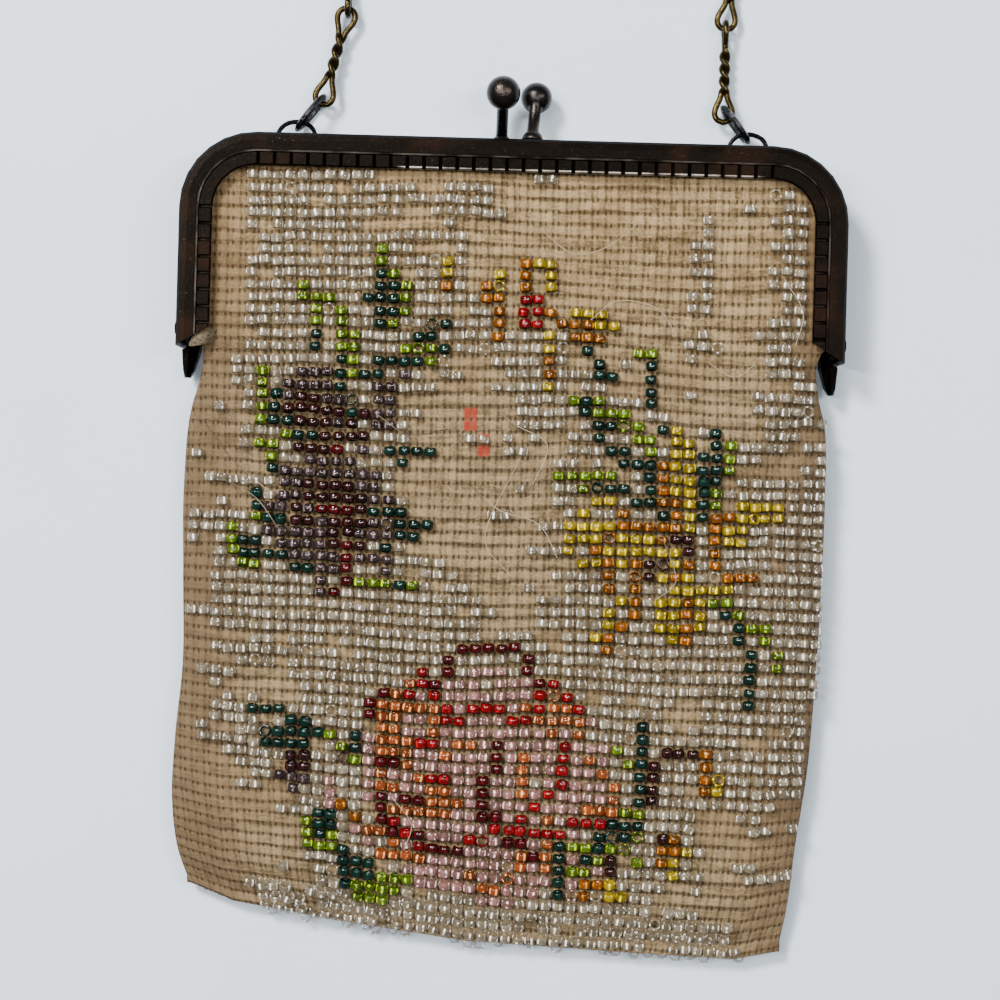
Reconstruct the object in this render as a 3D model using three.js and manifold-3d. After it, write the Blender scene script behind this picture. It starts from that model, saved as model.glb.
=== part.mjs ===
// Beaded flapper purse: a crimped metal frame with a kiss clasp, a beaded cloth bag and a twisted link chain.
// Millimetres, +Z up. The purse lies on its back: +Y runs from the bag to the clasp, +Z out of its front.
// While it is being built, the origin is the middle of the frame's top edge, at the level it lies on.
import * as THREE from 'three';
import { mergeVertices } from 'three/addons/utils/BufferGeometryUtils.js';
import Module from 'manifold-3d';

const wasm = await Module();
wasm.setup();

// Frame sizes
const FRAME_WIDTH = 101;
const FRAME_LEG = 32.5;
const FRAME_CORNER = 11.5;
const FRAME_DEPTH = 10.4;
const FACE_WIDTH = 5;
const PLATE = 0.8;
const LIP_WIDTH = 3.4;
const BAND_WIDTH = 2.6;
const RIDGE_WIDTH = 0.5;
const RIDGE_HEIGHT = 0.25;
const EDGE_ROUND = 0.4;
const LEG_SLANT = 3;
const CRIMP_PITCH = 2.5;
const CRIMP_SIZE = 0.4;
const CLEARANCE = 0.3;
const SPLIT = 0.3;

// Hinge sizes
const HINGE_DROP = 29.6;
const EAR_RADIUS = 2.3;
const PIN_RADIUS = 0.6;
const RIVET_HEAD_RADIUS = 1.1;
const RIVET_HEAD = 0.4;
const TONGUE_LENGTH = 4.6;
const TONGUE_ROOT = 2.6;
const TONGUE_TIP = 1;
const TONGUE_DEEP = 4.1;

// Clasp sizes
const BACK_BALL_RADIUS = 2.6;
const FRONT_BALL_RADIUS = 2.4;
const STEM_RADIUS = 0.9;
const BALL_REACH = 7.3;
const BACK_STEM_X = -2.2;
const FRONT_STEM_X = 2.5;
const COLLAR_RADIUS = 1.6;
const COLLAR_HEIGHT = 1.4;
const TAIL_RADIUS = 1.25;
const TAIL_HEIGHT = 0.45;

// Handle sizes
const EYELET_LEFT_INSET = 16.8;
const EYELET_RIGHT_INSET = 14.8;
const EYELET_WIDTH = 6.6;
const EYELET_REACH = 3.2;
const EYELET_WIRE = 0.8;
const RING_LENGTH = 7.4;
const RING_HEIGHT = 5.2;
const RING_WIRE = 0.93;
const RING_SEAT = 1.3;
const RING_LEAN = 52;
const LINK_LENGTH = 16.5;
const LINK_WIDTH = 3.7;
const LINK_LOOP = 5.2;
const LINK_WIRE = 0.87;
const LINK_TURNS = 1;
const HANDLE_REACH = 109;

// Bag sizes
const BAG_WALL = 1.3;
const BAG_LENGTH = 123;
const BAG_HALF_WIDTH = 49.5;
const BAG_COLUMNS = 12;
const FRONT_FLATNESS = 5;
const BACK_FLATNESS = 9;

// Levels and places that follow from the sizes
const HALF_DEPTH = (FRAME_DEPTH - SPLIT) / 2;
const FRONT_BAND_LEVEL = FRAME_DEPTH - RIDGE_HEIGHT;
const FRONT_CHANNEL_LEVEL = (FRAME_DEPTH - HALF_DEPTH + FRONT_BAND_LEVEL) / 2;
const BACK_CHANNEL_LEVEL = HALF_DEPTH / 2;
const HINGE_LEVEL = FRAME_DEPTH / 2;
const WEB_INSIDE = FRAME_WIDTH / 2 - PLATE;
const EAR_INSIDE = WEB_INSIDE - CLEARANCE - PLATE;
const EYELET_LEFT_X = EYELET_LEFT_INSET - FRAME_WIDTH / 2;
const EYELET_RIGHT_X = FRAME_WIDTH / 2 - EYELET_RIGHT_INSET;
const LINK_PITCH = LINK_LENGTH - 2 * LINK_WIRE - CLEARANCE;
const FLAP_FRONT = FRONT_BAND_LEVEL - PLATE - CLEARANCE;
const FLAP_BACK = PLATE + CLEARANCE;
const BAG_TUCK = PLATE + EYELET_WIRE + 2 * CLEARANCE;

// Joining and cutting

function solid(geometry) {
  const bare = geometry.clone();
  bare.deleteAttribute('normal');
  bare.deleteAttribute('uv');
  const merged = mergeVertices(bare, 1e-5);
  return new wasm.Manifold(new wasm.Mesh({
    numProp: 3,
    vertProperties: new Float32Array(merged.attributes.position.array),
    triVerts: new Uint32Array(merged.index.array),
  }));
}

function geometryOf(body) {
  const mesh = body.getMesh();
  const geometry = new THREE.BufferGeometry();
  geometry.setAttribute('position', new THREE.BufferAttribute(new Float32Array(mesh.vertProperties), 3));
  geometry.setIndex(new THREE.BufferAttribute(new Uint32Array(mesh.triVerts), 1));
  return geometry;
}

function joined(geometries) {
  return geometries.map(solid).reduce((whole, piece) => whole.add(piece));
}

// Rings of points, one after the other, skinned into a closed body whose two ends are flat caps.
function skinned(rings, section) {
  const count = section.length;
  const positions = rings.flat().flatMap((p) => [p.x, p.y, p.z]);
  const faces = [];
  for (let r = 0; r + 1 < rings.length; r += 1) {
    for (let i = 0; i < count; i += 1) {
      const next = (i + 1) % count;
      const [a, b] = [r * count + i, r * count + next];
      faces.push(a, b, b + count, a, b + count, a + count);
    }
  }
  const last = (rings.length - 1) * count;
  const clockwise = THREE.ShapeUtils.isClockWise(section);
  for (const cap of THREE.ShapeUtils.triangulateShape(section, [])) {
    const [a, b, c] = clockwise ? [...cap].reverse() : cap;
    faces.push(a, c, b, last + a, last + b, last + c);
  }
  return facingOut(positions, faces);
}

function facingOut(positions, faces) {
  const corner = (i) => new THREE.Vector3().fromArray(positions, 3 * i);
  let volume = 0;
  for (let i = 0; i < faces.length; i += 3) {
    volume += corner(faces[i]).dot(corner(faces[i + 1]).cross(corner(faces[i + 2])));
  }
  const geometry = new THREE.BufferGeometry();
  geometry.setAttribute('position', new THREE.Float32BufferAttribute(positions, 3));
  geometry.setIndex(volume > 0 ? faces : [...faces].reverse());
  return geometry;
}

// A round bar, disc or hole along X
function barAlongX(radius, from, to, y, z, sides) {
  const bar = new THREE.CylinderGeometry(radius, radius, Math.abs(to - from), sides);
  bar.rotateZ(Math.PI / 2);
  bar.translate((from + to) / 2, y, z);
  return bar;
}

// A round bar or hole along Y
function barAlongY(radius, from, to, x, z, sides) {
  const bar = new THREE.CylinderGeometry(radius, radius, Math.abs(to - from), sides);
  bar.translate(x, (from + to) / 2, z);
  return bar;
}

// Frame halves

// The bent bar's stations: a point of its outer edge, the way inwards, and which leg end it is, if any.
function frameStations() {
  const straight = FRAME_WIDTH / 2 - FRAME_CORNER;
  const steps = 7;
  const stations = [{ x: -FRAME_WIDTH / 2, y: -FRAME_LEG, inX: 1, inY: 0, end: 1 }];
  for (const side of [-1, 1]) {
    for (let i = 0; i <= steps; i += 1) {
      const turn = (side < 0 ? i : steps - i) / steps * Math.PI / 2;
      const outX = side * Math.cos(turn);
      const outY = Math.sin(turn);
      stations.push({
        x: side * straight + FRAME_CORNER * outX,
        y: -FRAME_CORNER + FRAME_CORNER * outY,
        inX: -outX, inY: -outY, end: 0,
      });
    }
  }
  stations.push({ x: FRAME_WIDTH / 2, y: -FRAME_LEG, inX: -1, inY: 0, end: 1 });
  return stations;
}

// A channel open towards the bag: x is the distance in from the frame's edge, y the level above its open side.
function channelSection(raised) {
  const face = raised ? HALF_DEPTH - RIDGE_HEIGHT : HALF_DEPTH;
  const ridgeEnd = BAND_WIDTH + RIDGE_WIDTH;
  const ridge = [
    [ridgeEnd, face],
    [ridgeEnd - RIDGE_WIDTH / 4, HALF_DEPTH],
    [BAND_WIDTH + RIDGE_WIDTH / 4, HALF_DEPTH],
    [BAND_WIDTH, face],
    [BAND_WIDTH / 2, face + RIDGE_HEIGHT / 3],
  ];
  return [
    [0, 0], [LIP_WIDTH, 0], [LIP_WIDTH, PLATE], [PLATE, PLATE],
    [PLATE, face - PLATE], [FACE_WIDTH, face - PLATE],
    [FACE_WIDTH, face - EDGE_ROUND / 2], [FACE_WIDTH - EDGE_ROUND / 2, face],
    ...(raised ? ridge : []),
    [EDGE_ROUND, face], [0, face - EDGE_ROUND],
  ].map(([across, level]) => new THREE.Vector2(across, level));
}

// The channel swept round the frame. Its leg ends are cut on a slant, shorter at the bag side.
function bentChannel(raised, levelOf) {
  const section = channelSection(raised);
  const rings = frameStations().map((s) => section.map((p) => new THREE.Vector3(
    s.x + s.inX * p.x,
    s.y + s.inY * p.x + s.end * LEG_SLANT * p.x / FACE_WIDTH,
    levelOf(p.y),
  )));
  return skinned(rings, section);
}

// One groove of the crimped band: a square bar on its edge, laid across the band's face.
function crimpTool(level) {
  const inset = BAND_WIDTH + RIDGE_WIDTH;
  const length = FACE_WIDTH - inset + CRIMP_SIZE;
  const tool = new THREE.BoxGeometry(CRIMP_SIZE, length, CRIMP_SIZE);
  tool.rotateY(Math.PI / 4);
  tool.translate(0, -inset - length / 2, level);
  return tool;
}

function crimps(level) {
  const topRun = FRAME_WIDTH - 2 * FRAME_CORNER;
  const legRun = FRAME_LEG - LEG_SLANT - FRAME_CORNER;
  const tools = [];
  const topCount = Math.floor(topRun / CRIMP_PITCH);
  for (let i = 0; i <= topCount; i += 1) {
    tools.push(crimpTool(level).translate((i - topCount / 2) * CRIMP_PITCH, 0, 0));
  }
  const legCount = Math.floor((legRun - CRIMP_SIZE) / CRIMP_PITCH);
  for (let i = 0; i <= legCount; i += 1) {
    for (const side of [-1, 1]) {
      const tool = crimpTool(level);
      tool.rotateZ(-side * Math.PI / 2);
      tool.translate(side * FRAME_WIDTH / 2, -FRAME_CORNER - i * CRIMP_PITCH, 0);
      tools.push(tool);
    }
  }
  return joined(tools);
}

// The back half's folded tongue. It leaves the channel inside the front half's web, comes out to the frame's edge
// below that web, and narrows to a rounded tip.
function tongue(side) {
  const hidden = WEB_INSIDE - CLEARANCE;
  const shown = FRAME_WIDTH / 2 - CLEARANCE;
  const top = HALF_DEPTH - CLEARANCE / 2;
  const rows = [
    { drop: -LEG_SLANT / 2, outside: hidden, width: TONGUE_ROOT - PLATE, deep: TONGUE_DEEP },
    { drop: 0, outside: hidden, width: TONGUE_ROOT - PLATE, deep: TONGUE_DEEP },
    { drop: CLEARANCE, outside: shown, width: TONGUE_ROOT, deep: TONGUE_DEEP },
    { drop: TONGUE_LENGTH * 0.75, outside: shown - TONGUE_TIP / 4, width: TONGUE_TIP * 1.6, deep: TONGUE_DEEP * 0.7 },
    { drop: TONGUE_LENGTH, outside: shown - TONGUE_TIP / 2, width: TONGUE_TIP * 0.8, deep: TONGUE_DEEP * 0.5 },
  ];
  const shape = (row) => [
    [row.outside - row.width, top - row.deep], [row.outside, top - row.deep],
    [row.outside, top - TONGUE_TIP / 2], [row.outside - row.width * 0.45, top],
    [row.outside - row.width, top - TONGUE_TIP],
  ].map(([x, z]) => new THREE.Vector3(side * x, -FRAME_LEG - row.drop, z));
  const section = shape(rows[0]).map((p) => new THREE.Vector2(p.x, p.z));
  return skinned(rows.map(shape), section);
}

function frontHalf() {
  let body = solid(bentChannel(true, (level) => FRAME_DEPTH - HALF_DEPTH + level));
  for (const side of [-1, 1]) {
    const [web, rim] = [side * WEB_INSIDE, side * FRAME_WIDTH / 2];
    const lipRoom = barAlongX(EAR_RADIUS + CLEARANCE, web, web - side * LIP_WIDTH, -HINGE_DROP, HINGE_LEVEL, 14);
    const ear = barAlongX(EAR_RADIUS, web, rim, -HINGE_DROP, HINGE_LEVEL, 14);
    const hole = barAlongX(PIN_RADIUS + CLEARANCE, web - side, rim + side, -HINGE_DROP, HINGE_LEVEL, 12);
    body = body.subtract(solid(lipRoom)).add(solid(ear)).subtract(solid(hole));
  }
  const stemHole = barAlongY(STEM_RADIUS + CLEARANCE, -PLATE * 2, PLATE, FRONT_STEM_X, FRONT_CHANNEL_LEVEL, 12);
  return geometryOf(body.subtract(solid(stemHole)).subtract(crimps(FRONT_BAND_LEVEL)));
}

function backHalf() {
  let body = solid(bentChannel(false, (level) => HALF_DEPTH - level));
  for (const side of [-1, 1]) {
    const [web, ear] = [side * (WEB_INSIDE - CLEARANCE), side * EAR_INSIDE];
    const outside = side * (FRAME_WIDTH / 2 + PLATE);
    const room = barAlongX(EAR_RADIUS + CLEARANCE, web, outside, -HINGE_DROP, HINGE_LEVEL, 14);
    const ownEar = barAlongX(EAR_RADIUS, ear, web, -HINGE_DROP, HINGE_LEVEL, 14);
    const hole = barAlongX(PIN_RADIUS + CLEARANCE, ear - side, web + side, -HINGE_DROP, HINGE_LEVEL, 12);
    const headEnd = ear - side * (RIVET_HEAD + 2 * CLEARANCE);
    const headRoom = barAlongX(RIVET_HEAD_RADIUS + CLEARANCE, ear, headEnd, -HINGE_DROP, HINGE_LEVEL, 12);
    body = body.subtract(solid(room)).add(solid(ownEar)).add(solid(tongue(side)));
    body = body.subtract(solid(hole)).subtract(solid(headRoom));
  }
  const stemHole = barAlongY(STEM_RADIUS + CLEARANCE, -PLATE * 2, PLATE, BACK_STEM_X, BACK_CHANNEL_LEVEL, 12);
  body = body.subtract(solid(stemHole));
  for (const centre of [EYELET_LEFT_X, EYELET_RIGHT_X]) {
    for (const side of [-1, 1]) {
      const x = centre + side * (EYELET_WIDTH - EYELET_WIRE) / 2;
      const wireHole = barAlongY(EYELET_WIRE / 2 + CLEARANCE, -PLATE * 2, PLATE, x, BACK_CHANNEL_LEVEL, 10);
      body = body.subtract(solid(wireHole));
    }
  }
  return geometryOf(body.subtract(crimps(0)));
}

// Hinge rivets: a pin with a flat head on each side of the two ears, lying along X.
function rivet() {
  const reach = (FRAME_WIDTH / 2 - EAR_INSIDE) / 2 + CLEARANCE;
  const profile = [
    [0, -reach - RIVET_HEAD], [RIVET_HEAD_RADIUS * 0.8, -reach - RIVET_HEAD], [RIVET_HEAD_RADIUS, -reach],
    [PIN_RADIUS, -reach], [PIN_RADIUS, reach],
    [RIVET_HEAD_RADIUS, reach], [RIVET_HEAD_RADIUS * 0.8, reach + RIVET_HEAD], [0, reach + RIVET_HEAD],
  ].map(([radius, level]) => new THREE.Vector2(radius, level));
  return new THREE.LatheGeometry(profile, 12).rotateZ(-Math.PI / 2);
}

// Clasp knobs: a ball on a stem that leans across the frame, with a collar outside the web and a tail inside it.
function knob(stemLevel, ballRadius, ballLevel, ballShift) {
  const bend = new THREE.Vector3(0, CLEARANCE + COLLAR_HEIGHT, 0);
  const ball = new THREE.Vector3(ballShift, BALL_REACH, ballLevel - stemLevel);
  const lean = ball.clone().sub(bend);
  const neck = new THREE.CylinderGeometry(STEM_RADIUS, STEM_RADIUS, lean.length(), 12);
  const up = new THREE.Vector3(0, 1, 0);
  neck.applyQuaternion(new THREE.Quaternion().setFromUnitVectors(up, lean.clone().normalize()));
  neck.translate(...bend.clone().add(ball).multiplyScalar(0.5).toArray());
  const tailTop = -PLATE - CLEARANCE;
  const profile = [
    [0, tailTop - TAIL_HEIGHT], [TAIL_RADIUS, tailTop - TAIL_HEIGHT], [TAIL_RADIUS, tailTop],
    [STEM_RADIUS, tailTop], [STEM_RADIUS, CLEARANCE],
    [COLLAR_RADIUS, CLEARANCE], [COLLAR_RADIUS, CLEARANCE + COLLAR_HEIGHT * 0.4],
    [STEM_RADIUS * 1.05, CLEARANCE + COLLAR_HEIGHT], [0, CLEARANCE + COLLAR_HEIGHT * 1.15],
  ].map(([radius, level]) => new THREE.Vector2(radius, level));
  const foot = new THREE.LatheGeometry(profile, 12);
  const sphere = new THREE.SphereGeometry(ballRadius, 14, 9).translate(...ball.toArray());
  return geometryOf(joined([foot, neck, sphere]));
}

// Wire loops and twisted links

class LoopCurve extends THREE.Curve {
  constructor(pointAt) {
    super();
    this.pointAt = pointAt;
  }

  getPoint(t, target = new THREE.Vector3()) {
    return target.copy(this.pointAt(t));
  }
}

// A closed D of wire, flat in XY: its straight side lies inside the frame's web, its bow stands out of the edge.
function eyelet() {
  const half = (EYELET_WIDTH - EYELET_WIRE) / 2;
  const bow = EYELET_REACH - EYELET_WIRE / 2;
  const inside = -PLATE - CLEARANCE - EYELET_WIRE / 2;
  const shoulder = bow - half * 0.75;
  const route = [[-half, inside], [half, inside], [half, shoulder]];
  const steps = 8;
  for (let i = 1; i < steps; i += 1) {
    const turn = Math.PI * i / steps;
    route.push([half * Math.cos(turn), shoulder + (bow - shoulder) * Math.sin(turn)]);
  }
  route.push([-half, shoulder]);
  const path = new THREE.CurvePath();
  for (let i = 0; i < route.length; i += 1) {
    const [from, to] = [route[i], route[(i + 1) % route.length]];
    path.add(new THREE.LineCurve3(new THREE.Vector3(...from, 0), new THREE.Vector3(...to, 0)));
  }
  return wireAlong(path, EYELET_WIRE, 26, 6);
}

function wireAlong(curve, wire, steps, sides) {
  return new THREE.TubeGeometry(curve, steps, wire / 2, sides, true);
}

// The oval jump ring stands on its long side in the XZ plane.
function jumpRing() {
  const long = (RING_LENGTH - RING_WIRE) / 2;
  const high = (RING_HEIGHT - RING_WIRE) / 2;
  const oval = new LoopCurve((t) => {
    const turn = 2 * Math.PI * t;
    return new THREE.Vector3(long * Math.cos(turn), 0, high * Math.sin(turn));
  });
  return wireAlong(oval, RING_WIRE, 20, 6);
}

// Half the distance between a link's two strands, at a distance from its end.
function strandSpread(fromEnd) {
  const loop = (LINK_WIDTH - LINK_WIRE) / 2;
  const twist = LINK_WIRE * 0.6;
  if (fromEnd < loop) {
    return Math.sqrt(Math.max(0, loop * loop - (loop - fromEnd) ** 2));
  }
  const fall = Math.min(1, (fromEnd - loop) / (LINK_LOOP - loop));
  return twist + (loop - twist) * (1 + Math.cos(Math.PI * fall)) / 2;
}

// A link is one closed wire: out along one strand and back along the other, twisted round each other in the middle.
// It lies along X. Its loops stand level at the start and are turned by the given share of a turn at the end.
function twistedLink(endTurn) {
  const reach = (LINK_LENGTH - LINK_WIRE) / 2;
  const twistHalf = reach - LINK_LOOP;
  const turns = LINK_TURNS + endTurn;
  const strand = (t) => {
    const there = t < 0.5;
    const along = there ? 4 * t - 1 : 3 - 4 * t;
    const x = reach * Math.sin(along * Math.PI / 2) * 0.25 + reach * along * 0.75;
    const spread = strandSpread(reach - Math.abs(x)) * (there ? 1 : -1);
    const twisted = THREE.MathUtils.clamp((x + twistHalf) / (2 * twistHalf), 0, 1);
    const angle = 2 * Math.PI * turns * twisted;
    return new THREE.Vector3(x, spread * Math.cos(angle), spread * Math.sin(angle));
  };
  return wireAlong(new LoopCurve(strand), LINK_WIRE, 28, 5);
}

// The handle's route past the joints of its first and last links, and how high it lies: few points chosen by eye.
// Each x is taken from an eyelet or from the frame's middle.
const HANDLE_ROUTE = [
  { from: 'left', x: 3.85, y: 6.05, z: 2.6 },
  { from: 'left', x: 7.3, y: 20.2, z: 1.9 },
  { from: 'left', x: 7.4, y: 35, z: 1.85 },
  { from: 'left', x: 4.1, y: 55, z: 1.85 },
  { from: 'left', x: 5.7, y: 80, z: 1.85 },
  { from: 'left', x: 17.7, y: 100, z: 1.85 },
  { from: 'middle', x: 4.5, y: HANDLE_REACH, z: 1.85 },
  { from: 'right', x: -10.2, y: 101.5, z: 1.85 },
  { from: 'right', x: 2.3, y: 82, z: 1.85 },
  { from: 'right', x: 2.8, y: 55, z: 1.85 },
  { from: 'right', x: -2.1, y: 35, z: 1.85 },
  { from: 'right', x: -3.9, y: 19.6, z: 1.9 },
  { from: 'right', x: -3.9, y: 5.05, z: 2.6 },
];

// Bag

// Half widths that a section's left and right are shares of: in the frame's channel, between the tongues, and free.
const HALF_WIDTHS = {
  channel: WEB_INSIDE - 2 * CLEARANCE,
  neck: FRAME_WIDTH / 2 - TONGUE_ROOT - 2 * CLEARANCE,
  cloth: BAG_HALF_WIDTH,
};

// Sections down the bag, from the tucked edge in the frame to the hem. Down is a share of the frame's leg, or in the
// cloth of what hangs below the leg. Front, back and seam are levels as shares of the frame's depth.
const BAG_SECTIONS = [
  { base: 'channel', down: 0.07, left: 0.8, right: 0.8, front: 0.87, back: 0.106, seam: 0.5 },
  { base: 'channel', down: 0.18, left: 0.94, right: 0.94, front: 0.87, back: 0.106, seam: 0.5 },
  { base: 'channel', down: 0.35, left: 1, right: 1, front: 0.87, back: 0.106, seam: 0.5 },
  { base: 'channel', down: 0.62, left: 1, right: 1, front: 0.87, back: 0.106, seam: 0.5 },
  { base: 'channel', down: 0.87, left: 1, right: 1, front: 0.87, back: 0.106, seam: 0.5 },
  { base: 'channel', down: 0.96, left: 0.962, right: 0.962, front: 0.87, back: 0.106, seam: 0.5 },
  { base: 'neck', down: 1.13, left: 1, right: 1, front: 0.86, back: 0.08, seam: 0.48 },
  { base: 'cloth', down: 0.1, left: 0.982, right: 0.98, front: 0.85, back: 0.03, seam: 0.46 },
  { base: 'cloth', down: 0.225, left: 1, right: 0.99, front: 0.83, back: 0, seam: 0.42 },
  { base: 'cloth', down: 0.385, left: 0.995, right: 0.985, front: 0.8, back: 0, seam: 0.4 },
  { base: 'cloth', down: 0.545, left: 0.99, right: 0.975, front: 0.77, back: 0, seam: 0.38 },
  { base: 'cloth', down: 0.69, left: 0.995, right: 0.96, front: 0.73, back: 0, seam: 0.36 },
  { base: 'cloth', down: 0.82, left: 0.985, right: 0.93, front: 0.67, back: 0, seam: 0.34 },
  { base: 'cloth', down: 0.925, left: 0.95, right: 0.91, front: 0.55, back: 0.01, seam: 0.32 },
  { base: 'cloth', down: 1, left: 0.91, right: 0.885, front: 0.3, back: 0.09, seam: 0.25 },
];

// How far the hem is drawn up, as a share of the bag's length, at shares of the half width across.
const HEM = [
  { across: -1, rise: 0.07 }, { across: -0.85, rise: 0.047 }, { across: -0.5, rise: 0.026 },
  { across: -0.1, rise: 0.006 }, { across: 0.5, rise: 0 }, { across: 0.85, rise: 0 }, { across: 1, rise: 0.016 },
];

// Folds in the cloth as straight strokes: ends as shares of the half width and the length, size as a share of the
// frame's depth (below zero for a dent), width as a share of the bag's half width.
const FOLDS = [
  { x0: -0.93, y0: 0.29, x1: -0.66, y1: 0.46, size: 0.1, width: 0.05 },
  { x0: -0.95, y0: 0.31, x1: -0.8, y1: 0.52, size: -0.12, width: 0.05 },
  { x0: -0.9, y0: 0.27, x1: -0.45, y1: 0.36, size: -0.08, width: 0.05 },
  { x0: 0.93, y0: 0.29, x1: 0.74, y1: 0.5, size: -0.12, width: 0.05 },
  { x0: 0.9, y0: 0.29, x1: 0.56, y1: 0.4, size: 0.08, width: 0.06 },
  { x0: -0.2, y0: 0.4, x1: 0.1, y1: 0.62, size: -0.06, width: 0.12 },
  { x0: 0.35, y0: 0.62, x1: 0.6, y1: 0.86, size: -0.06, width: 0.12 },
  { x0: -0.95, y0: 0.8, x1: -0.6, y1: 0.93, size: 0.1, width: 0.08 },
  { x0: -0.85, y0: 0.72, x1: -0.5, y1: 0.86, size: -0.1, width: 0.08 },
];

function readTable(table, key, at, column) {
  const next = table.findIndex((row) => row[key] >= at - 1e-9);
  if (next <= 0) {
    return table[Math.max(0, next)][column];
  }
  const [before, after] = [table[next - 1], table[next]];
  const share = (at - before[key]) / (after[key] - before[key]);
  return before[column] + (after[column] - before[column]) * share;
}

function foldHeight(across, down) {
  let height = 0;
  for (const fold of FOLDS) {
    const scale = BAG_LENGTH / BAG_HALF_WIDTH;
    const start = new THREE.Vector2(fold.x0, fold.y0 * scale);
    const run = new THREE.Vector2(fold.x1, fold.y1 * scale).sub(start);
    const offset = new THREE.Vector2(across, down * scale).sub(start);
    const along = THREE.MathUtils.clamp(offset.dot(run) / run.lengthSq(), 0, 1);
    const away = offset.sub(run.multiplyScalar(along)).length() / fold.width;
    height += fold.size * FRAME_DEPTH * Math.exp(-away * away);
  }
  return height;
}

// How far a section lies below the frame's top edge. The topmost keeps clear of the eyelets' wire in the channel.
function dropOf(row) {
  const drop = row.base === 'cloth' ? FRAME_LEG + row.down * (BAG_LENGTH - FRAME_LEG) : row.down * FRAME_LEG;
  return Math.max(BAG_TUCK, drop);
}

// One wall of the bag, a sheet of cloth BAG_WALL thick. Outside is 1 for the front wall and -1 for the back one.
function bagWall(outside) {
  const column = outside > 0 ? 'front' : 'back';
  const flatness = outside > 0 ? FRONT_FLATNESS : BACK_FLATNESS;
  const flap = outside > 0 ? FLAP_FRONT : FLAP_BACK;
  const outer = [];
  const inner = [];
  for (const row of BAG_SECTIONS) {
    const open = row.base === 'channel';
    for (let i = 0; i <= BAG_COLUMNS; i += 1) {
      const across = Math.sin(Math.PI / 2 * (2 * i / BAG_COLUMNS - 1));
      const x = across * HALF_WIDTHS[row.base] * (across < 0 ? row.left : row.right);
      const rise = row.base === 'cloth' ? readTable(HEM, 'across', across, 'rise') * row.down ** 3 : 0;
      const y = rise * BAG_LENGTH - dropOf(row);
      const crown = open ? 1 : Math.sqrt(1 - Math.abs(across) ** flatness);
      const seam = row.seam * FRAME_DEPTH + outside * BAG_WALL * 0.45;
      const flat = open ? flap : row[column] * FRAME_DEPTH;
      const fold = outside > 0 && !open ? foldHeight(across, -y / BAG_LENGTH) * crown : 0;
      const z = seam + (flat - seam) * crown + fold;
      outer.push(x, y, z);
      inner.push(x, y, z - outside * BAG_WALL);
    }
  }
  return facingOut([...outer, ...inner], sheetFaces(BAG_SECTIONS.length, BAG_COLUMNS + 1));
}

// The faces of a closed sheet: two grids of rows by columns, one over the other, joined round their edges.
function sheetFaces(rows, columns) {
  const faces = [];
  const under = rows * columns;
  for (let r = 0; r + 1 < rows; r += 1) {
    for (let c = 0; c + 1 < columns; c += 1) {
      const [a, b, d, e] = [r * columns + c, r * columns + c + 1, (r + 1) * columns + c, (r + 1) * columns + c + 1];
      faces.push(a, d, b, b, d, e);
      faces.push(under + a, under + b, under + d, under + b, under + e, under + d);
    }
  }
  const rim = [];
  for (let c = 0; c + 1 < columns; c += 1) rim.push(c);
  for (let r = 0; r + 1 < rows; r += 1) rim.push(r * columns + columns - 1);
  for (let c = columns - 1; c > 0; c -= 1) rim.push((rows - 1) * columns + c);
  for (let r = rows - 1; r > 0; r -= 1) rim.push(r * columns);
  rim.forEach((a, i) => {
    const b = rim[(i + 1) % rim.length];
    faces.push(a, b, under + a, b, under + b, under + a);
  });
  return faces;
}

function bag() {
  return geometryOf(joined([bagWall(1), bagWall(-1)]));
}

// Materials

function finish(colour, roughness, metalness) {
  return new THREE.MeshStandardMaterial({ color: colour, roughness, metalness });
}

const BRONZED = finish(0x2f2925, 0.38, 0.9);
const BRONZED_CLASP = finish(0x332a26, 0.28, 0.9);
const STEEL = finish(0x34332f, 0.4, 0.9);
const GILT = finish(0x8b7a4e, 0.36, 0.95);
const BEADED_CLOTH = finish(0xb9aa8e, 0.85, 0);

// Assembly

const purse = new THREE.Group();

function place(name, geometry, material, position = [0, 0, 0]) {
  const mesh = new THREE.Mesh(geometry, material);
  mesh.name = name;
  mesh.position.set(...position);
  purse.add(mesh);
  return mesh;
}

function addFrame() {
  place('frame_front', frontHalf(), BRONZED);
  place('frame_back', backHalf(), BRONZED);
  const middle = (FRAME_WIDTH / 2 + EAR_INSIDE) / 2;
  place('hinge_rivet_left', rivet(), BRONZED, [-middle, -HINGE_DROP, HINGE_LEVEL]);
  place('hinge_rivet_right', rivet(), BRONZED, [middle, -HINGE_DROP, HINGE_LEVEL]);
}

// Each ball sits over the other half's channel, so that the two snap past each other.
function addClasp() {
  const backKnob = knob(BACK_CHANNEL_LEVEL, BACK_BALL_RADIUS, FRONT_CHANNEL_LEVEL - STEM_RADIUS / 2, 0.1);
  const frontKnob = knob(FRONT_CHANNEL_LEVEL, FRONT_BALL_RADIUS, BACK_CHANNEL_LEVEL + STEM_RADIUS, 0.5);
  place('clasp_knob_back', backKnob, BRONZED_CLASP, [BACK_STEM_X, 0, BACK_CHANNEL_LEVEL]);
  place('clasp_knob_front', frontKnob, BRONZED_CLASP, [FRONT_STEM_X, 0, FRONT_CHANNEL_LEVEL]);
}

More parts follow.
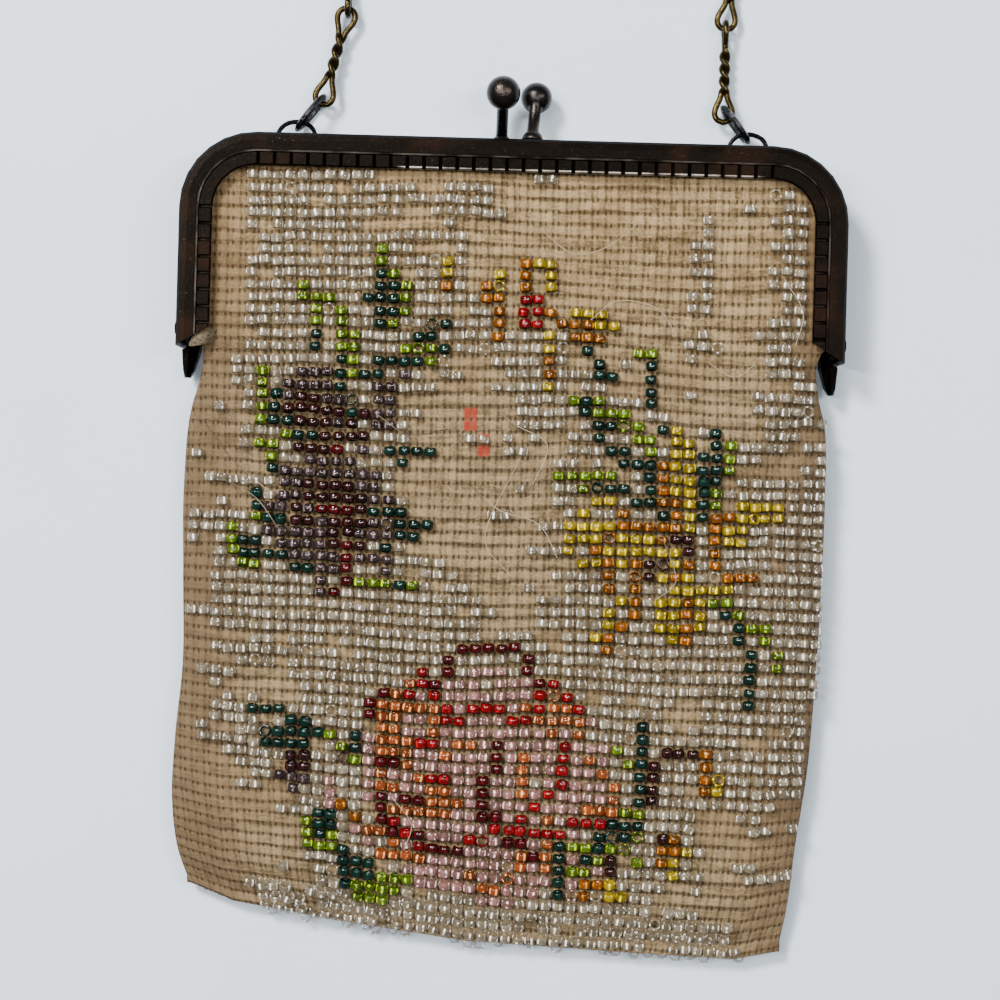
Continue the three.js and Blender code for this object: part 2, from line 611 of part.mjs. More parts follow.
// A ring hooks round the eyelet's bow and leans in towards the middle, where the chain's end link hangs in it.
function addRing(name, side, eyeletX) {
  place(`eyelet_${name}`, eyelet(), BRONZED, [eyeletX, 0, BACK_CHANNEL_LEVEL]);
  const lean = RING_LEAN * Math.PI / 180;
  const x = eyeletX + side * RING_WIRE / 4 - side * RING_LENGTH / 2 * Math.cos(lean);
  const y = RING_SEAT + RING_LENGTH / 2 * Math.sin(lean);
  const ring = place(`ring_${name}`, jumpRing(), STEEL, [x, y, RING_HEIGHT / 2 + RING_WIRE / 20]);
  ring.rotation.z = -side * lean;
}

// Joints at equal steps along the handle's route. Links hang in each other there, every one a quarter turn on.
function addChain() {
  const anchors = { left: EYELET_LEFT_X, middle: 0, right: EYELET_RIGHT_X };
  const points = HANDLE_ROUTE.map((p) => new THREE.Vector3(anchors[p.from] + p.x, p.y, p.z));
  const route = new THREE.CatmullRomCurve3(points, false, 'centripetal');
  const count = Math.ceil(route.getLength() / LINK_PITCH);
  const joints = route.getSpacedPoints(count);
  const level = twistedLink(0);
  const turned = twistedLink(0.25);
  for (let i = 0; i < count; i += 1) {
    const [from, to] = i === 0 ? [joints[0], joints[1]] : [joints[i + 1], joints[i]];
    const name = `chain_link_${String(i + 1).padStart(2, '0')}`;
    const centre = from.clone().add(to).multiplyScalar(0.5);
    const link = place(name, i === 0 ? level : turned, GILT, centre.toArray());
    const run = to.clone().sub(from);
    link.rotation.order = 'ZYX';
    link.rotation.z = Math.atan2(run.y, run.x);
    link.rotation.y = -Math.atan2(run.z, Math.hypot(run.x, run.y));
  }
}

addFrame();
addClasp();
place('bag', bag(), BEADED_CLOTH);
addRing('left', -1, EYELET_LEFT_X);
addRing('right', 1, EYELET_RIGHT_X);
addChain();

// The finished purse stands on its own middle: the origin is the centre of its box, at the level it lies on.
purse.updateMatrixWorld(true);
const box = new THREE.Box3().setFromObject(purse, true);
const middle = box.getCenter(new THREE.Vector3());
purse.position.set(-middle.x, -middle.y, -box.min.z);

export default purse;
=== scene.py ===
# %% [markdown]
# # A beaded flapper purse
#
# The purse lies on its back on a pale table: a bronzed metal frame with a kiss clasp, a twisted chain handle, and a
# flat bag of canvas that is covered with rows of glass seed beads. Many beads are lost, so the bare canvas shows.
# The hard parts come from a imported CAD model, which stays where it is. This lesson gives them their finish, and makes
# what is soft or fine: the canvas, some five thousand beads, the loose threads, and the round knobs and chain.
#
# First comes the frame of reference. Sizes are in millimetres and are turned into metres as a mesh is made. X runs
# across the purse, Y up to the clasp, and Z up from the table. The level Y = 0 is the metal frame's top edge.

import math
import random

import bpy
import numpy as np
from mathutils import Euler, Matrix, Vector, noise


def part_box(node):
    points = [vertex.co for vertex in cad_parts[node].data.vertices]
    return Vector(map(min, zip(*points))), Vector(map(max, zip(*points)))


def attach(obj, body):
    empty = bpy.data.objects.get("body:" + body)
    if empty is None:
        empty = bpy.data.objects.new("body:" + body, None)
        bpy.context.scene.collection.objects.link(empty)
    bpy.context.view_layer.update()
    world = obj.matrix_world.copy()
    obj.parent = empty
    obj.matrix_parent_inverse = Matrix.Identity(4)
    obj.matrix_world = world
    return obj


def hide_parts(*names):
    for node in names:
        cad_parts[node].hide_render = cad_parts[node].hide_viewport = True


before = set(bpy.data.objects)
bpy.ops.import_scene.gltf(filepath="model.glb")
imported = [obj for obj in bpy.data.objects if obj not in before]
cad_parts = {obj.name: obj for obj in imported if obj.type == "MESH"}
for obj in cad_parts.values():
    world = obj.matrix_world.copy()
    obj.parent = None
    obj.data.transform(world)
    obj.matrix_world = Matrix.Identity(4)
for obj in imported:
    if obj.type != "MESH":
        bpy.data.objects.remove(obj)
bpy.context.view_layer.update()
MM = 0.001
TOP_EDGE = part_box("frame_front")[1].y
print("nodes:", len(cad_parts), "top edge of the frame at", round(TOP_EDGE, 4), "m")


def metres(point):
    """A point in millimetres below the frame's top edge, as the model's own metres."""
    return Vector((point[0] * MM, point[1] * MM + TOP_EDGE, point[2] * MM))


def new_mesh(name, points, faces):
    """An object at the origin, its points given in millimetres."""
    mesh = bpy.data.meshes.new(name)
    mesh.from_pydata([metres(p) for p in points], [], faces)
    made = bpy.data.objects.new(name, mesh)
    bpy.context.scene.collection.objects.link(made)
    return made


def smooth(made):
    """Soft shading over all faces of a finished piece."""
    made.data.polygons.foreach_set("use_smooth", [True] * len(made.data.polygons))
    return made


# %% [markdown]
# ## Camera, table and light
#
# The purse was seen from straight above, about 36 cm away. The camera stands there, rolled a little, so that the purse
# leans as it does to that eye. The table is one pale plane. A window at the upper left gives the main light and the
# soft shadows. Two narrow lamps draw upright glints on glass and metal, and a tiny one beside the camera puts the
# bright dot in the middle of each round bead.

# %% Camera
CAMERA_AT = (-0.9, -54.5, 360)
CAMERA_ROLL = 1.6
CAMERA_LENS = 83.65

camera = bpy.data.objects.new("camera", bpy.data.cameras.new("camera"))
camera.location = metres(CAMERA_AT)
camera.rotation_euler = (0, 0, math.radians(CAMERA_ROLL))
camera.data.lens = CAMERA_LENS
camera.data.clip_start = 0.01
bpy.context.scene.collection.objects.link(camera)
bpy.context.scene.camera = camera
print("camera", round(camera.location.z, 3), "m above the table")

# %% Table and lamps
TABLE_HALF = 900
PURSE_MIDDLE = (0, -50, 0)
LAMPS = (
    # name, place, width and length in millimetres, power in watts
    ("window", (-420, 430, 760), (200, 200), 21),
    ("lamp_by_eye", (4, -50, 372), (12, 12), 0.3),
    ("strip_left", (-300, 20, 640), (40, 420), 4),
    ("strip_right", (330, 60, 640), (40, 420), 4),
)
SKY_COLOUR = (0.9, 0.94, 1, 1)
SKY_STRENGTH = 0.22


def soft_lamp(name, place, size, power):
    """An area lamp at a place, turned to the middle of the purse."""
    lamp = bpy.data.objects.new(name, bpy.data.lights.new(name, "AREA"))
    lamp.data.shape = "RECTANGLE"
    lamp.data.size, lamp.data.size_y = size[0] * MM, size[1] * MM
    lamp.data.energy = power
    lamp.location = metres(place)
    lamp.rotation_euler = (metres(PURSE_MIDDLE) - metres(place)).to_track_quat("-Z", "Y").to_euler()
    bpy.context.scene.collection.objects.link(lamp)


corners = [(x * TABLE_HALF, y * TABLE_HALF, 0) for x, y in ((-1, -1), (1, -1), (1, 1), (-1, 1))]
table = new_mesh("table", corners, [(0, 1, 2, 3)])
for lamp in LAMPS:
    soft_lamp(*lamp)
world = bpy.data.worlds.new("room")
bpy.context.scene.world = world
world.use_nodes = True
sky = world.node_tree.nodes["Background"].inputs
sky["Color"].default_value = SKY_COLOUR
sky["Strength"].default_value = SKY_STRENGTH
print("lamps:", len(LAMPS))

# %% [markdown]
# ## A small language for materials
#
# A finish is a graph of shader nodes. Built by hand it takes many lines, so two small classes carry it. A `Value`
# wraps a socket, and arithmetic on it adds Math nodes, so that `1 - mask` may be written as it is thought. A `Finish`
# is a material with one method, `node`, that adds any other node from its type, its settings and its inputs.

# %% Shader expressions
class Value:
    """One output of a shader node. Arithmetic with it adds Math nodes to its material."""

    def __init__(self, finish, socket):
        self.finish = finish
        self.socket = socket

    def _math(self, operation, *values):
        return self.finish.math(operation, *values)

    def __add__(self, other):
        return self._math("ADD", self, other)

    def __sub__(self, other):
        return self._math("SUBTRACT", self, other)

    def __rsub__(self, other):
        return self._math("SUBTRACT", other, self)

    def __mul__(self, other):
        return self._math("MULTIPLY", self, other)

    __radd__ = __add__
    __rmul__ = __mul__


class Finish:
    """A material made of nodes."""

    def __init__(self, name):
        self.material = bpy.data.materials.new(name)
        self.material.use_nodes = True
        self.tree = self.material.node_tree
        self.tree.nodes.clear()

    def node(self, kind, settings=None, inputs=None, output=0):
        """Adds a node. Inputs are named by a socket's identifier, name or number."""
        made = self.tree.nodes.new(kind)
        for key, value in (settings or {}).items():
            setattr(made, key, value)
        for key, value in (inputs or {}).items():
            self._feed(self._socket(made.inputs, key), value)
        return Value(self, self._socket(made.outputs, output)) if made.outputs else None

    @staticmethod
    def _socket(sockets, key):
        if isinstance(key, int):
            return sockets[key]
        return next(s for s in sockets if key in (s.identifier, s.name))

    def _feed(self, socket, value):
        if isinstance(value, Value):
            self.tree.links.new(value.socket, socket)
        elif socket.type == "RGBA":
            socket.default_value = (*value, 1)
        else:
            socket.default_value = value

    def math(self, operation, *values):
        return self.node("ShaderNodeMath", {"operation": operation}, dict(enumerate(values)))

    def step(self, value, low, high):
        """Rises smoothly from 0 at low to 1 at high. With low above high it falls."""
        inputs = {"Value": value, "From Min": low, "From Max": high}
        return self.node("ShaderNodeMapRange", {"interpolation_type": "SMOOTHSTEP"}, inputs)

    def band(self, value, start, end, soft):
        """1 between start and end, falling off over a soft edge."""
        return self.step(value, start, start + soft) * self.step(value, end, end - soft)

    def place(self):
        """Where a point is in the model, in millimetres."""
        at = self.node("ShaderNodeTexCoord", output="Object")
        return self.node("ShaderNodeVectorMath", {"operation": "SCALE"}, {0: at, "Scale": 1 / MM})

    def uv(self, name):
        return self.node("ShaderNodeUVMap", {"uv_map": name})

    def attribute(self, name):
        return self.node("ShaderNodeAttribute", {"attribute_name": name}, output="Fac")

    def split(self, vector):
        """The three numbers of a vector."""
        made = self.node("ShaderNodeSeparateXYZ", inputs={0: vector}).socket.node
        return [Value(self, s) for s in made.outputs]

    def noise(self, place, size, detail=3, rough=0.55):
        """Cloudy noise with patches of about the given size, in the units of place."""
        inputs = {"Vector": place, "Scale": 1 / size, "Detail": detail, "Roughness": rough}
        return self.node("ShaderNodeTexNoise", inputs=inputs)

    def mix(self, share, first, second):
        """A colour between two others."""
        inputs = {"Factor_Float": share, "A_Color": first, "B_Color": second}
        return self.node("ShaderNodeMix", {"data_type": "RGBA"}, inputs, "Result_Color")

    def bump(self, height, depth):
        """Turns a height from 0 to 1 into shading, as if it were the given depth in millimetres."""
        return self.node("ShaderNodeBump", inputs={"Height": height, "Distance": depth * MM})

    def done(self, **inputs):
        """Adds the surface shader. A keyword is an input's name with _ for a space."""
        named = {key.replace("_", " "): value for key, value in inputs.items()}
        shader = self.node("ShaderNodeBsdfPrincipled", inputs=named)
        self.node("ShaderNodeOutputMaterial", inputs={"Surface": shader})
        return self.material


def dress(piece, material):
    """Gives a piece one material, in place of any that it has."""
    piece.data.materials.clear()
    piece.data.materials.append(material)


# %% [markdown]
# ## The table's finish
#
# A pale cloth lies on the real table. Only its tone matters here, so the plane gets a cool near-white with the
# faintest cloudiness.

# %% Table finish
CLOUD_SIZE = 60

pale = Finish("pale_table")
cloudy = pale.noise(pale.place(), CLOUD_SIZE)
dress(table, pale.done(Base_Color=pale.mix(cloudy, (0.5, 0.575, 0.64), (0.58, 0.65, 0.71)), Roughness=0.9))

# %% [markdown]
# ## The canvas
#
# The bag is two sheets of coarse canvas, front and back, joined at the sides and the hem. It could be a cloth
# simulation, but this bag lies flat and has the CAD solid's form, so the sheets are lofted through the same few
# sections: how wide the bag is, and how high its front, back and side seam lie. Each row of the mesh knows how many
# bead columns and rows it is from the middle and the top. That is kept as a UV map, so the weave of the material and
# the beads themselves follow one grid.

# %% Sections of the bag
FRAME_LEG = 32.5
FRAME_HALF_WIDTH = 50.5
FACE_WIDTH = 5
TOP_DROP = 2.3
BAG_LENGTH = 123
SECTION_COLUMNS = ("drop", "left", "right", "front", "back", "seam")
SECTIONS = np.array([
    (TOP_DROP, 39.3, 39.3, 9.05, 1.1, 5.2),
    (5.85, 46.2, 46.2, 9.05, 1.1, 5.2),
    (11.4, 49.1, 49.1, 9.05, 1.1, 5.2),
    (20.2, 49.1, 49.1, 9.05, 1.1, 5.2),
    (28.3, 49.1, 49.1, 9.05, 1.1, 5.2),
    (31.2, 47.2, 47.2, 9.05, 1.1, 5.2),
    (36.7, 47.3, 47.3, 8.94, 0.83, 4.99),
    (41.6, 48.6, 48.5, 8.84, 0.31, 4.78),
    (52.9, 49.5, 49.0, 8.63, 0, 4.37),
    (67.3, 49.3, 48.8, 8.32, 0, 4.16),
    (81.8, 49.0, 48.3, 8.01, 0, 3.95),
    (95.0, 49.9, 47.5, 7.59, 0, 3.74),
    (106.7, 50.1, 46.0, 6.97, 0, 3.54),
    (116.2, 49.0, 45.0, 5.72, 0.1, 3.33),
    (BAG_LENGTH, 47.2, 43.8, 3.12, 0.94, 2.6),
])
HEM_ACROSS = (-1, -0.85, -0.5, -0.1, 0.5, 0.85, 1)
HEM_RISE = (8.6, 5.8, 3.2, 0.7, -0.5, -1, 0.4)
FOLDS = [
    # the ends of each, as X and Y, its height and its width
    ((-46, -36), (-33, -57), 1.0, 2.5), ((-47, -38), (-40, -64), -1.2, 2.5), ((-45, -33), (-22, -44), -0.8, 2.5),
    ((46, -36), (37, -62), -1.2, 2.5), ((45, -36), (28, -49), 0.8, 3), ((-10, -49), (5, -76), -0.6, 6),
    ((17, -76), (30, -106), -0.6, 6), ((-47, -98), (-30, -114), 1.0, 4), ((-42, -89), (-25, -106), -1.0, 4),
]


def eased(x, xs, ys):
    """Reads a smooth curve through the points xs, ys."""
    slopes = np.gradient(ys, xs)
    i = np.clip(np.searchsorted(xs, x) - 1, 0, len(xs) - 2)
    width = xs[i + 1] - xs[i]
    t = np.clip((x - xs[i]) / width, 0, 1)
    start = ys[i] * (1 + 2 * t) * (1 - t) ** 2 + slopes[i] * width * t * (1 - t) ** 2
    end = ys[i + 1] * t * t * (3 - 2 * t) - slopes[i + 1] * width * t * t * (1 - t)
    return start + end


def section(column, drop):
    return eased(drop, SECTIONS[:, 0], SECTIONS[:, SECTION_COLUMNS.index(column)])


def smoothstep(x, low, high):
    t = np.clip((x - low) / (high - low), 0, 1)
    return t * t * (3 - 2 * t)


def fold_height(x, y):
    """Straight soft folds and dents in the front sheet."""
    height = 0
    for (x0, y0), (x1, y1), size, width in FOLDS:
        along = np.clip(((x - x0) * (x1 - x0) + (y - y0) * (y1 - y0)) / ((x1 - x0) ** 2 + (y1 - y0) ** 2), 0, 1)
        away = np.hypot(x - x0 - along * (x1 - x0), y - y0 - along * (y1 - y0))
        height = height + size * np.exp(-((away / width) ** 2))
    return height


print("folds:", len(FOLDS), "widest half:", SECTIONS[:, 1].max(), "mm")

# %% One row of cloth
BEAD_DIAMETER = 1.92
COLUMN_PITCH = 1.98
ROW_PITCH = 1.87
FIRST_ROW = 5.9
ROWS = 63
MIDDLE_COLUMN = 24
BEAD_BURIED = 0.25
FRONT_SUNK = 0.9
SEAM_SUNK = 0.2
BACK_SUNK = BEAD_DIAMETER * (1 - BEAD_BURIED / 2) + 0.15
SEAM_HALF = 0.08
FLATNESS = {1: 5, -1: 9}
SIDES_START = 28.5
SIDES_JOINED = 36.7
PITCH_KEPT_TO = 60
FULL_WIDTH = 97.5
DRIFT_ACROSS = 0.3
DRIFT_DOWN = 0.45


def cloth_row(drop, side, count=121):
    """The canvas at a drop below the frame's top edge, from seam to seam. Side is 1 in front, -1 at the back."""
    across = np.sin(np.linspace(-1, 1, count) * math.pi / 2)
    sunk = FRONT_SUNK if side > 0 else BACK_SUNK
    closed = smoothstep(drop, SIDES_START, SIDES_JOINED)
    half = np.where(across < 0, section("left", drop), section("right", drop)) - SEAM_SUNK * closed
    down = max(0, (drop - FRAME_LEG) / (BAG_LENGTH - FRAME_LEG))
    x = across * half
    y = np.interp(across, HEM_ACROSS, HEM_RISE) * down**3 - drop
    crown = 1 - closed * (1 - np.sqrt(1 - np.abs(across) ** FLATNESS[side]))
    seam = section("seam", drop) + side * SEAM_HALF
    flat = section("front" if side > 0 else "back", drop) - side * sunk
    z = seam + (flat - seam) * crown
    if side > 0:
        z = z + fold_height(x, y) * crown * closed
    return np.stack([x, y, z], axis=1)


def arc_from_middle(row):
    """How far each point of a row is from X = 0, along the cloth."""
    steps = np.linalg.norm(np.diff(row, axis=0), axis=1)
    arc = np.concatenate([[0], np.cumsum(steps)])
    return arc - np.interp(0, row[:, 0], arc)


def column_pitch(drop):
    """Columns close up a little where the bag narrows to its hem."""
    if drop < PITCH_KEPT_TO:
        return COLUMN_PITCH
    return COLUMN_PITCH * min(1, (section("left", drop) + section("right", drop)) / FULL_WIDTH)


def grid_drift(column, row):
    """How far the hand-sewn grid strays from a true one, in bead widths and rows."""
    at = Vector((column * 0.09, row * 0.07, 3.7))
    return DRIFT_ACROSS * noise.noise(at), DRIFT_DOWN * noise.noise(at + Vector((0, 0, 9)))


# %% Front and back sheets
CANVAS_THICK = 0.5
SHEET_COLUMNS = 150
SHEET_ROWS = 160


def canvas_sheet(name, side):
    """A sheet as a grid of quads, with bead columns and rows as its UV map."""
    points, places, faces = [], [], []
    for j in range(SHEET_ROWS + 1):
        drop = TOP_DROP + (BAG_LENGTH - TOP_DROP) * j / SHEET_ROWS
        row = cloth_row(drop, side, SHEET_COLUMNS + 1)
        arc = arc_from_middle(row)
        for point, s in zip(row, arc):
            points.append(point)
            column = s / column_pitch(drop) + MIDDLE_COLUMN
            down = (drop - FIRST_ROW) / ROW_PITCH
            shift = grid_drift(column, down)
            places.append((column - shift[0], down - shift[1]))
    wide = SHEET_COLUMNS + 1
    for j in range(SHEET_ROWS):
        for i in range(SHEET_COLUMNS):
            a = j * wide + i
            faces.append((a, a + wide, a + wide + 1, a + 1) if side > 0 else (a, a + 1, a + wide + 1, a + wide))
    made = smooth(new_mesh(name, points, faces))
    layer = made.data.uv_layers.new(name="cells")
    for loop in made.data.loops:
        layer.data[loop.index].uv = places[loop.vertex_index]
    wall = made.modifiers.new("wall", "SOLIDIFY")
    wall.thickness = CANVAS_THICK * MM
    wall.offset = -1
    return made


canvas_front = canvas_sheet("canvas_front", 1)
canvas_back = canvas_sheet("canvas_back", -1)
print("canvas faces:", len(canvas_front.data.polygons) * 2)

# %% [markdown]
# ## The canvas finish
#
# Under each lost bead the coarse thread shows as two pads, a wide one and a narrow one, with dark pinholes where the
# needle went through. They are far too many and too fine to model, so the material draws them from the `cells` map,
# where one unit is one bead. Age has stained it brown along both sides, and painted shade greys its lower part. Two
# stitches of an old mark still show in red.

# %% Canvas finish
canvas = Finish("old_canvas")
cells = canvas.uv("cells")
column, row, _ = canvas.split(cells)
wobble = canvas.noise(cells, 1.3, 2) - 0.5
u = canvas.math("FRACT", column + 0.5 + wobble * 0.25)
v = canvas.math("FRACT", row + 0.5 + wobble * 0.3)
pads = canvas.band(u, -0.1, 0.6, 0.22) + canvas.band(u, 0.6, 1.1, 0.2) * 0.9
rows_of_pads = canvas.band(v, 0, 1, 0.3)
weave = (0.5 + 0.5 * canvas.math("MINIMUM", pads, 1)) * (0.35 + 0.65 * rows_of_pads)
to_gap = canvas.math("MINIMUM", canvas.math("ABSOLUTE", u - 0.6), canvas.math("MINIMUM", u, 1 - u))
to_row = canvas.math("MINIMUM", v, 1 - v)
pinholes = canvas.step(to_gap, 0.13, 0.05) * canvas.step(to_row, 0.24, 0.1)
fibres = canvas.step(canvas.noise(cells, 0.22, 4, 0.8), 0.33, 0.67)
patches = canvas.noise(cells, 9, 3)
drawn_out = canvas.node("ShaderNodeVectorMath", {"operation": "MULTIPLY"}, {0: cells, 1: (0.14, 1, 1)})
streaks = canvas.noise(drawn_out, 0.9, 3)
halves = canvas.node("ShaderNodeVectorMath", {"operation": "MULTIPLY_ADD"}, {0: cells, 1: (2, 1, 1), 2: (1, 0.5, 0)})
pad_number = canvas.node("ShaderNodeVectorMath", {"operation": "FLOOR"}, {0: halves})
each_pad = canvas.node("ShaderNodeTexWhiteNoise", {"noise_dimensions": "2D"}, {"Vector": pad_number})
pad_light = weave * (0.62 + 0.42 * each_pad) + (fibres - 0.5) * 0.6 - canvas.step(streaks, 0.47, 0.6) * 0.35
colour = canvas.mix(pad_light, (0.078, 0.05, 0.02), (0.36, 0.25, 0.128))
stain = canvas.step(patches, 0.42, 0.72)
colour = canvas.mix(stain * 0.45, colour, (0.15, 0.09, 0.036))
edge = canvas.step(canvas.math("ABSOLUTE", column - MIDDLE_COLUMN), 18, 24)
colour = canvas.mix(edge * 0.7, colour, (0.11, 0.065, 0.03))
# Painted shade: the canvas is mixed towards a dark grey from row 5 down to row 20 and below.
painted_shade_below = canvas.step(row, 5, 20)
colour = canvas.mix(painted_shade_below * 0.2, colour, (0.055, 0.05, 0.04))
colour = canvas.mix(pinholes * canvas.step(fibres, 0.15, 0.45) * 0.85, colour, (0.02, 0.012, 0.004))
upper_mark = canvas.band(column, 20.5, 21.6, 0.12) * canvas.band(row, 18.5, 20.5, 0.2)
lower_mark = canvas.band(column, 21.6, 22.6, 0.12) * canvas.band(row, 20.5, 22.5, 0.2)
mark = (upper_mark + lower_mark) * weave * (0.7 + 0.3 * fibres)
colour = canvas.mix(mark, colour, (0.3, 0.014, 0.009))
rumple = canvas.bump(weave + fibres * 0.35, 0.3)
dress(canvas_front, canvas.done(Base_Color=colour, Roughness=0.85, Specular_IOR_Level=0.15, Normal=rumple))
dress(canvas_back, canvas.material)

# %% [markdown]
# ## The flowers
#
# Beadwork is drawn on squared paper. Here the paper is a dictionary from a cell, given by its column and row, to the
# name of a glass. A stem or a leaf's edge is a `run` of cells between a few turning points, and a petal is a `petal`,
# an oval of cells. Later strokes cover earlier ones, as they would in paint. It is the common garden posy of such
# purses: a dark pansy on the left, a small yellow flower above, a lily on the right, and a rose at the foot.

# %% Drawing on squared paper
chart = {}


def run(glass, *lines, wide=1):
    """Straight runs of cells, one or more cells wide. Each line is a list of its turning points."""
    for stops in lines:
        for (c0, r0), (c1, r1) in zip(stops, stops[1:] or stops):
            steps = max(abs(c1 - c0), abs(r1 - r0), 1)
            for k in range(steps + 1):
                c = round(c0 + (c1 - c0) * k / steps)
                for extra in range(wide):
                    chart[c + extra, round(r0 + (r1 - r0) * k / steps)] = glass


def petal(glass, middle, half_width, half_height, lean=0, missed=0):
    """An oval of cells, leaning by an angle in degrees. Missed is the share of its cells that keep what they had."""
    chance = random.Random(round(middle[0] * 100 + middle[1]))
    turn = math.radians(lean)
    reach = math.ceil(max(half_width, half_height))
    for c in range(int(middle[0]) - reach, int(middle[0]) + reach + 2):
        for r in range(int(middle[1]) - reach, int(middle[1]) + reach + 2):
            x, y = c - middle[0], r - middle[1]
            across = (x * math.cos(turn) + y * math.sin(turn)) / half_width
            along = (y * math.cos(turn) - x * math.sin(turn)) / half_height
            if across**2 + along**2 <= 1 and chance.random() >= missed:
                chart[c, r] = glass


# %% Sprays at the top left
run("lime", [(14, 6), (14, 7)], [(15, 8), (16, 10), (15, 12)], [(8, 9)], [(8, 10), (10, 10)],
    [(9, 11), (9, 12)], [(11, 11), (11, 14)], [(12, 13), (12, 16)], [(16, 14), (19, 14)], [(18, 15)],
    [(5, 16), (5, 20)], [(7, 21), (5, 22), (6, 23)])
run("forest", [(14, 8), (14, 11)], [(15, 9), (15, 11)], [(13, 10), (14, 12)], [(9, 13), (9, 14)],
    [(19, 12), (17, 13), (18, 13)], [(19, 14)], [(14, 15), (17, 15)], [(13, 16), (14, 16)])

# %% The pansy
petal("mauve", (9, 18.5), 2.6, 2.8)
petal("maroon", (9, 19.4), 2.4, 2.1, missed=0.2)
petal("mauve", (8.5, 16.8), 1.6, 1)
petal("mauve", (14.6, 18.3), 1.1, 2.2)
run("mauve", [(16, 16)])
run("maroon", [(10, 21), (13, 21)], [(12, 20), (13, 19)])
run("forest", [(11, 15), (11, 17), (12, 18), (12, 19)], [(6, 18), (6, 20), (9, 21)])
run("maroon", [(8, 22), (10, 22)])
run("wine", [(11, 22), (11, 23)])
run("mauve", [(13, 22), (12, 24)])
petal("mauve", (10.4, 27.4), 5, 4.9, missed=0.04)
petal("maroon", (10.6, 27.2), 3.4, 2.8, 20, missed=0.22)
petal("wine", (11, 27.2), 1.3, 0.8)
run("mauve", [(13, 29), (15, 28), (15, 32), (14, 31)])
run("maroon", [(11, 30), (13, 30)])
run("wine", [(12, 30), (12, 32), (11, 34)])
run("mauve", [(10, 31), (10, 34)])
run("forest", [(15, 22), (18, 22)], [(16, 23)], [(6, 24)], [(5, 26), (5, 27), (7, 28)],
    [(14, 27), (16, 27), (16, 28), (18, 28)], [(16, 29), (17, 29)], [(15, 30)],
    [(4, 30), (5, 30), (4, 31), (6, 31), (9, 32)])
run("lime", [(5, 28)], [(3, 29), (3, 31), (5, 32)], [(13, 33), (17, 33)])
run("forest", [(16, 33)])

# %% The small yellow flower
run("yellow", [(19, 7), (19, 8)])
run("amber", [(19, 9)], [(22, 9), (22, 10), (23, 10), (23, 13)])
run("yellow", [(23, 8), (23, 9)])
run("amber", [(25, 7), (25, 10)])
run("yellow", [(26, 7), (27, 8)], [(27, 7), (27, 9)])
run("red", [(25, 10), (25, 12)], wide=2)
run("amber", [(27, 11), (29, 12), (31, 13)], [(29, 13), (30, 13)])
run("yellow", [(29, 11), (31, 11)], [(31, 12), (32, 12)], [(27, 13), (27, 17)])
run("amber", [(27, 15), (27, 16)])

# %% Stems at the right
run("forest", [(30, 14), (31, 15), (32, 16)], [(31, 16)], [(35, 15), (35, 18)])
run("lime", [(34, 14), (35, 14)], [(29, 18), (31, 18)])
run("forest", [(30, 18), (30, 19)])
run("lime", [(31, 19), (33, 19), (35, 21), (35, 22)])
run("lime", [(33, 20), (34, 21)], wide=2)
run("forest", [(31, 20), (32, 20), (31, 21), (33, 22), (33, 23), (35, 23)], [(35, 24), (35, 26), (34, 26)])
run("lime", [(28, 24), (32, 24)], [(30, 25)])
run("forest", [(31, 25), (33, 25)], [(36, 20)], [(40, 20), (40, 24)], [(39, 22), (39, 27)])
run("lime", [(41, 21), (41, 23)], [(40, 25), (40, 26)])

# %% The lily
petal("yellow", (37.6, 24.5), 1.3, 5.2, -6)
run("amber", [(36, 23), (36, 28)], [(37, 26), (37, 28)])
petal("yellow", (42.6, 26.9), 3.6, 1.1, -8)
run("amber", [(40, 27), (41, 27)])
run("yellow", [(40, 29), (42, 29)])
run("amber", [(40, 28), (40, 31)])
petal("yellow", (31.4, 29.6), 3.4, 2.2, 12, missed=0.1)
petal("yellow", (34.8, 30.2), 3.2, 2, 20)
run("yellow", [(30, 27), (32, 26)])
run("amber", [(33, 27), (36, 29)], [(33, 28), (35, 28)], [(31, 30), (32, 31)], [(32, 29)])
run("maroon", [(37, 29), (38, 29), (38, 30)], [(35, 31), (36, 31)], [(35, 32)])
run("forest", [(36, 27)])
run("amber", [(34, 31), (34, 33)], [(32, 32), (32, 33)])
run("yellow", [(36, 32), (41, 33)])
run("amber", [(38, 31), (37, 32)], [(41, 32), (43, 32)])
petal("yellow", (37.5, 35), 2, 2.4)
petal("amber", (38, 35.5), 0.9, 2)
run("yellow", [(33, 34), (31, 37)])
run("amber", [(34, 34), (32, 38)])
run("lime", [(40, 34), (44, 36), (45, 39)])
run("forest", [(41, 35), (43, 38), (43, 42)])

# %% The rose
petal("pink", (23, 48.5), 9.6, 8.6, 0, missed=0.03)
petal("pink", (24, 55.5), 8.5, 3.6, 0, missed=0.08)
petal("salmon", (17, 44), 2.6, 3.6, 20, missed=0.3)
petal("salmon", (28.5, 43.5), 2.6, 3, -20, missed=0.3)
run("salmon", [(15, 46), (15, 50), (16, 50)], [(17, 48), (21, 51), (17, 51)], [(16, 52), (20, 52)],
    [(22, 46), (20, 47)], [(26, 47), (26, 50), (28, 52)], [(31, 47), (33, 49), (33, 51), (31, 51)],
    [(14, 54), (18, 56), (15, 56)], [(22, 57), (23, 58), (25, 57), (26, 55)], [(28, 54), (28, 56)])
run("red", [(18, 46), (19, 46)])
run("wine", [(24, 46), (24, 48), (23, 49), (23, 52), (24, 52)])
run("red", [(29, 46), (29, 49), (28, 50), (26, 52)])
run("wine", [(15, 48), (16, 48)], [(15, 51), (15, 53), (17, 54), (19, 55), (21, 55), (22, 54)],
    [(17, 51), (18, 51)])
run("red", [(16, 53), (18, 55)], [(19, 49), (20, 49)],
    [(22, 54), (25, 53), (27, 53), (29, 53), (31, 52), (32, 52)])
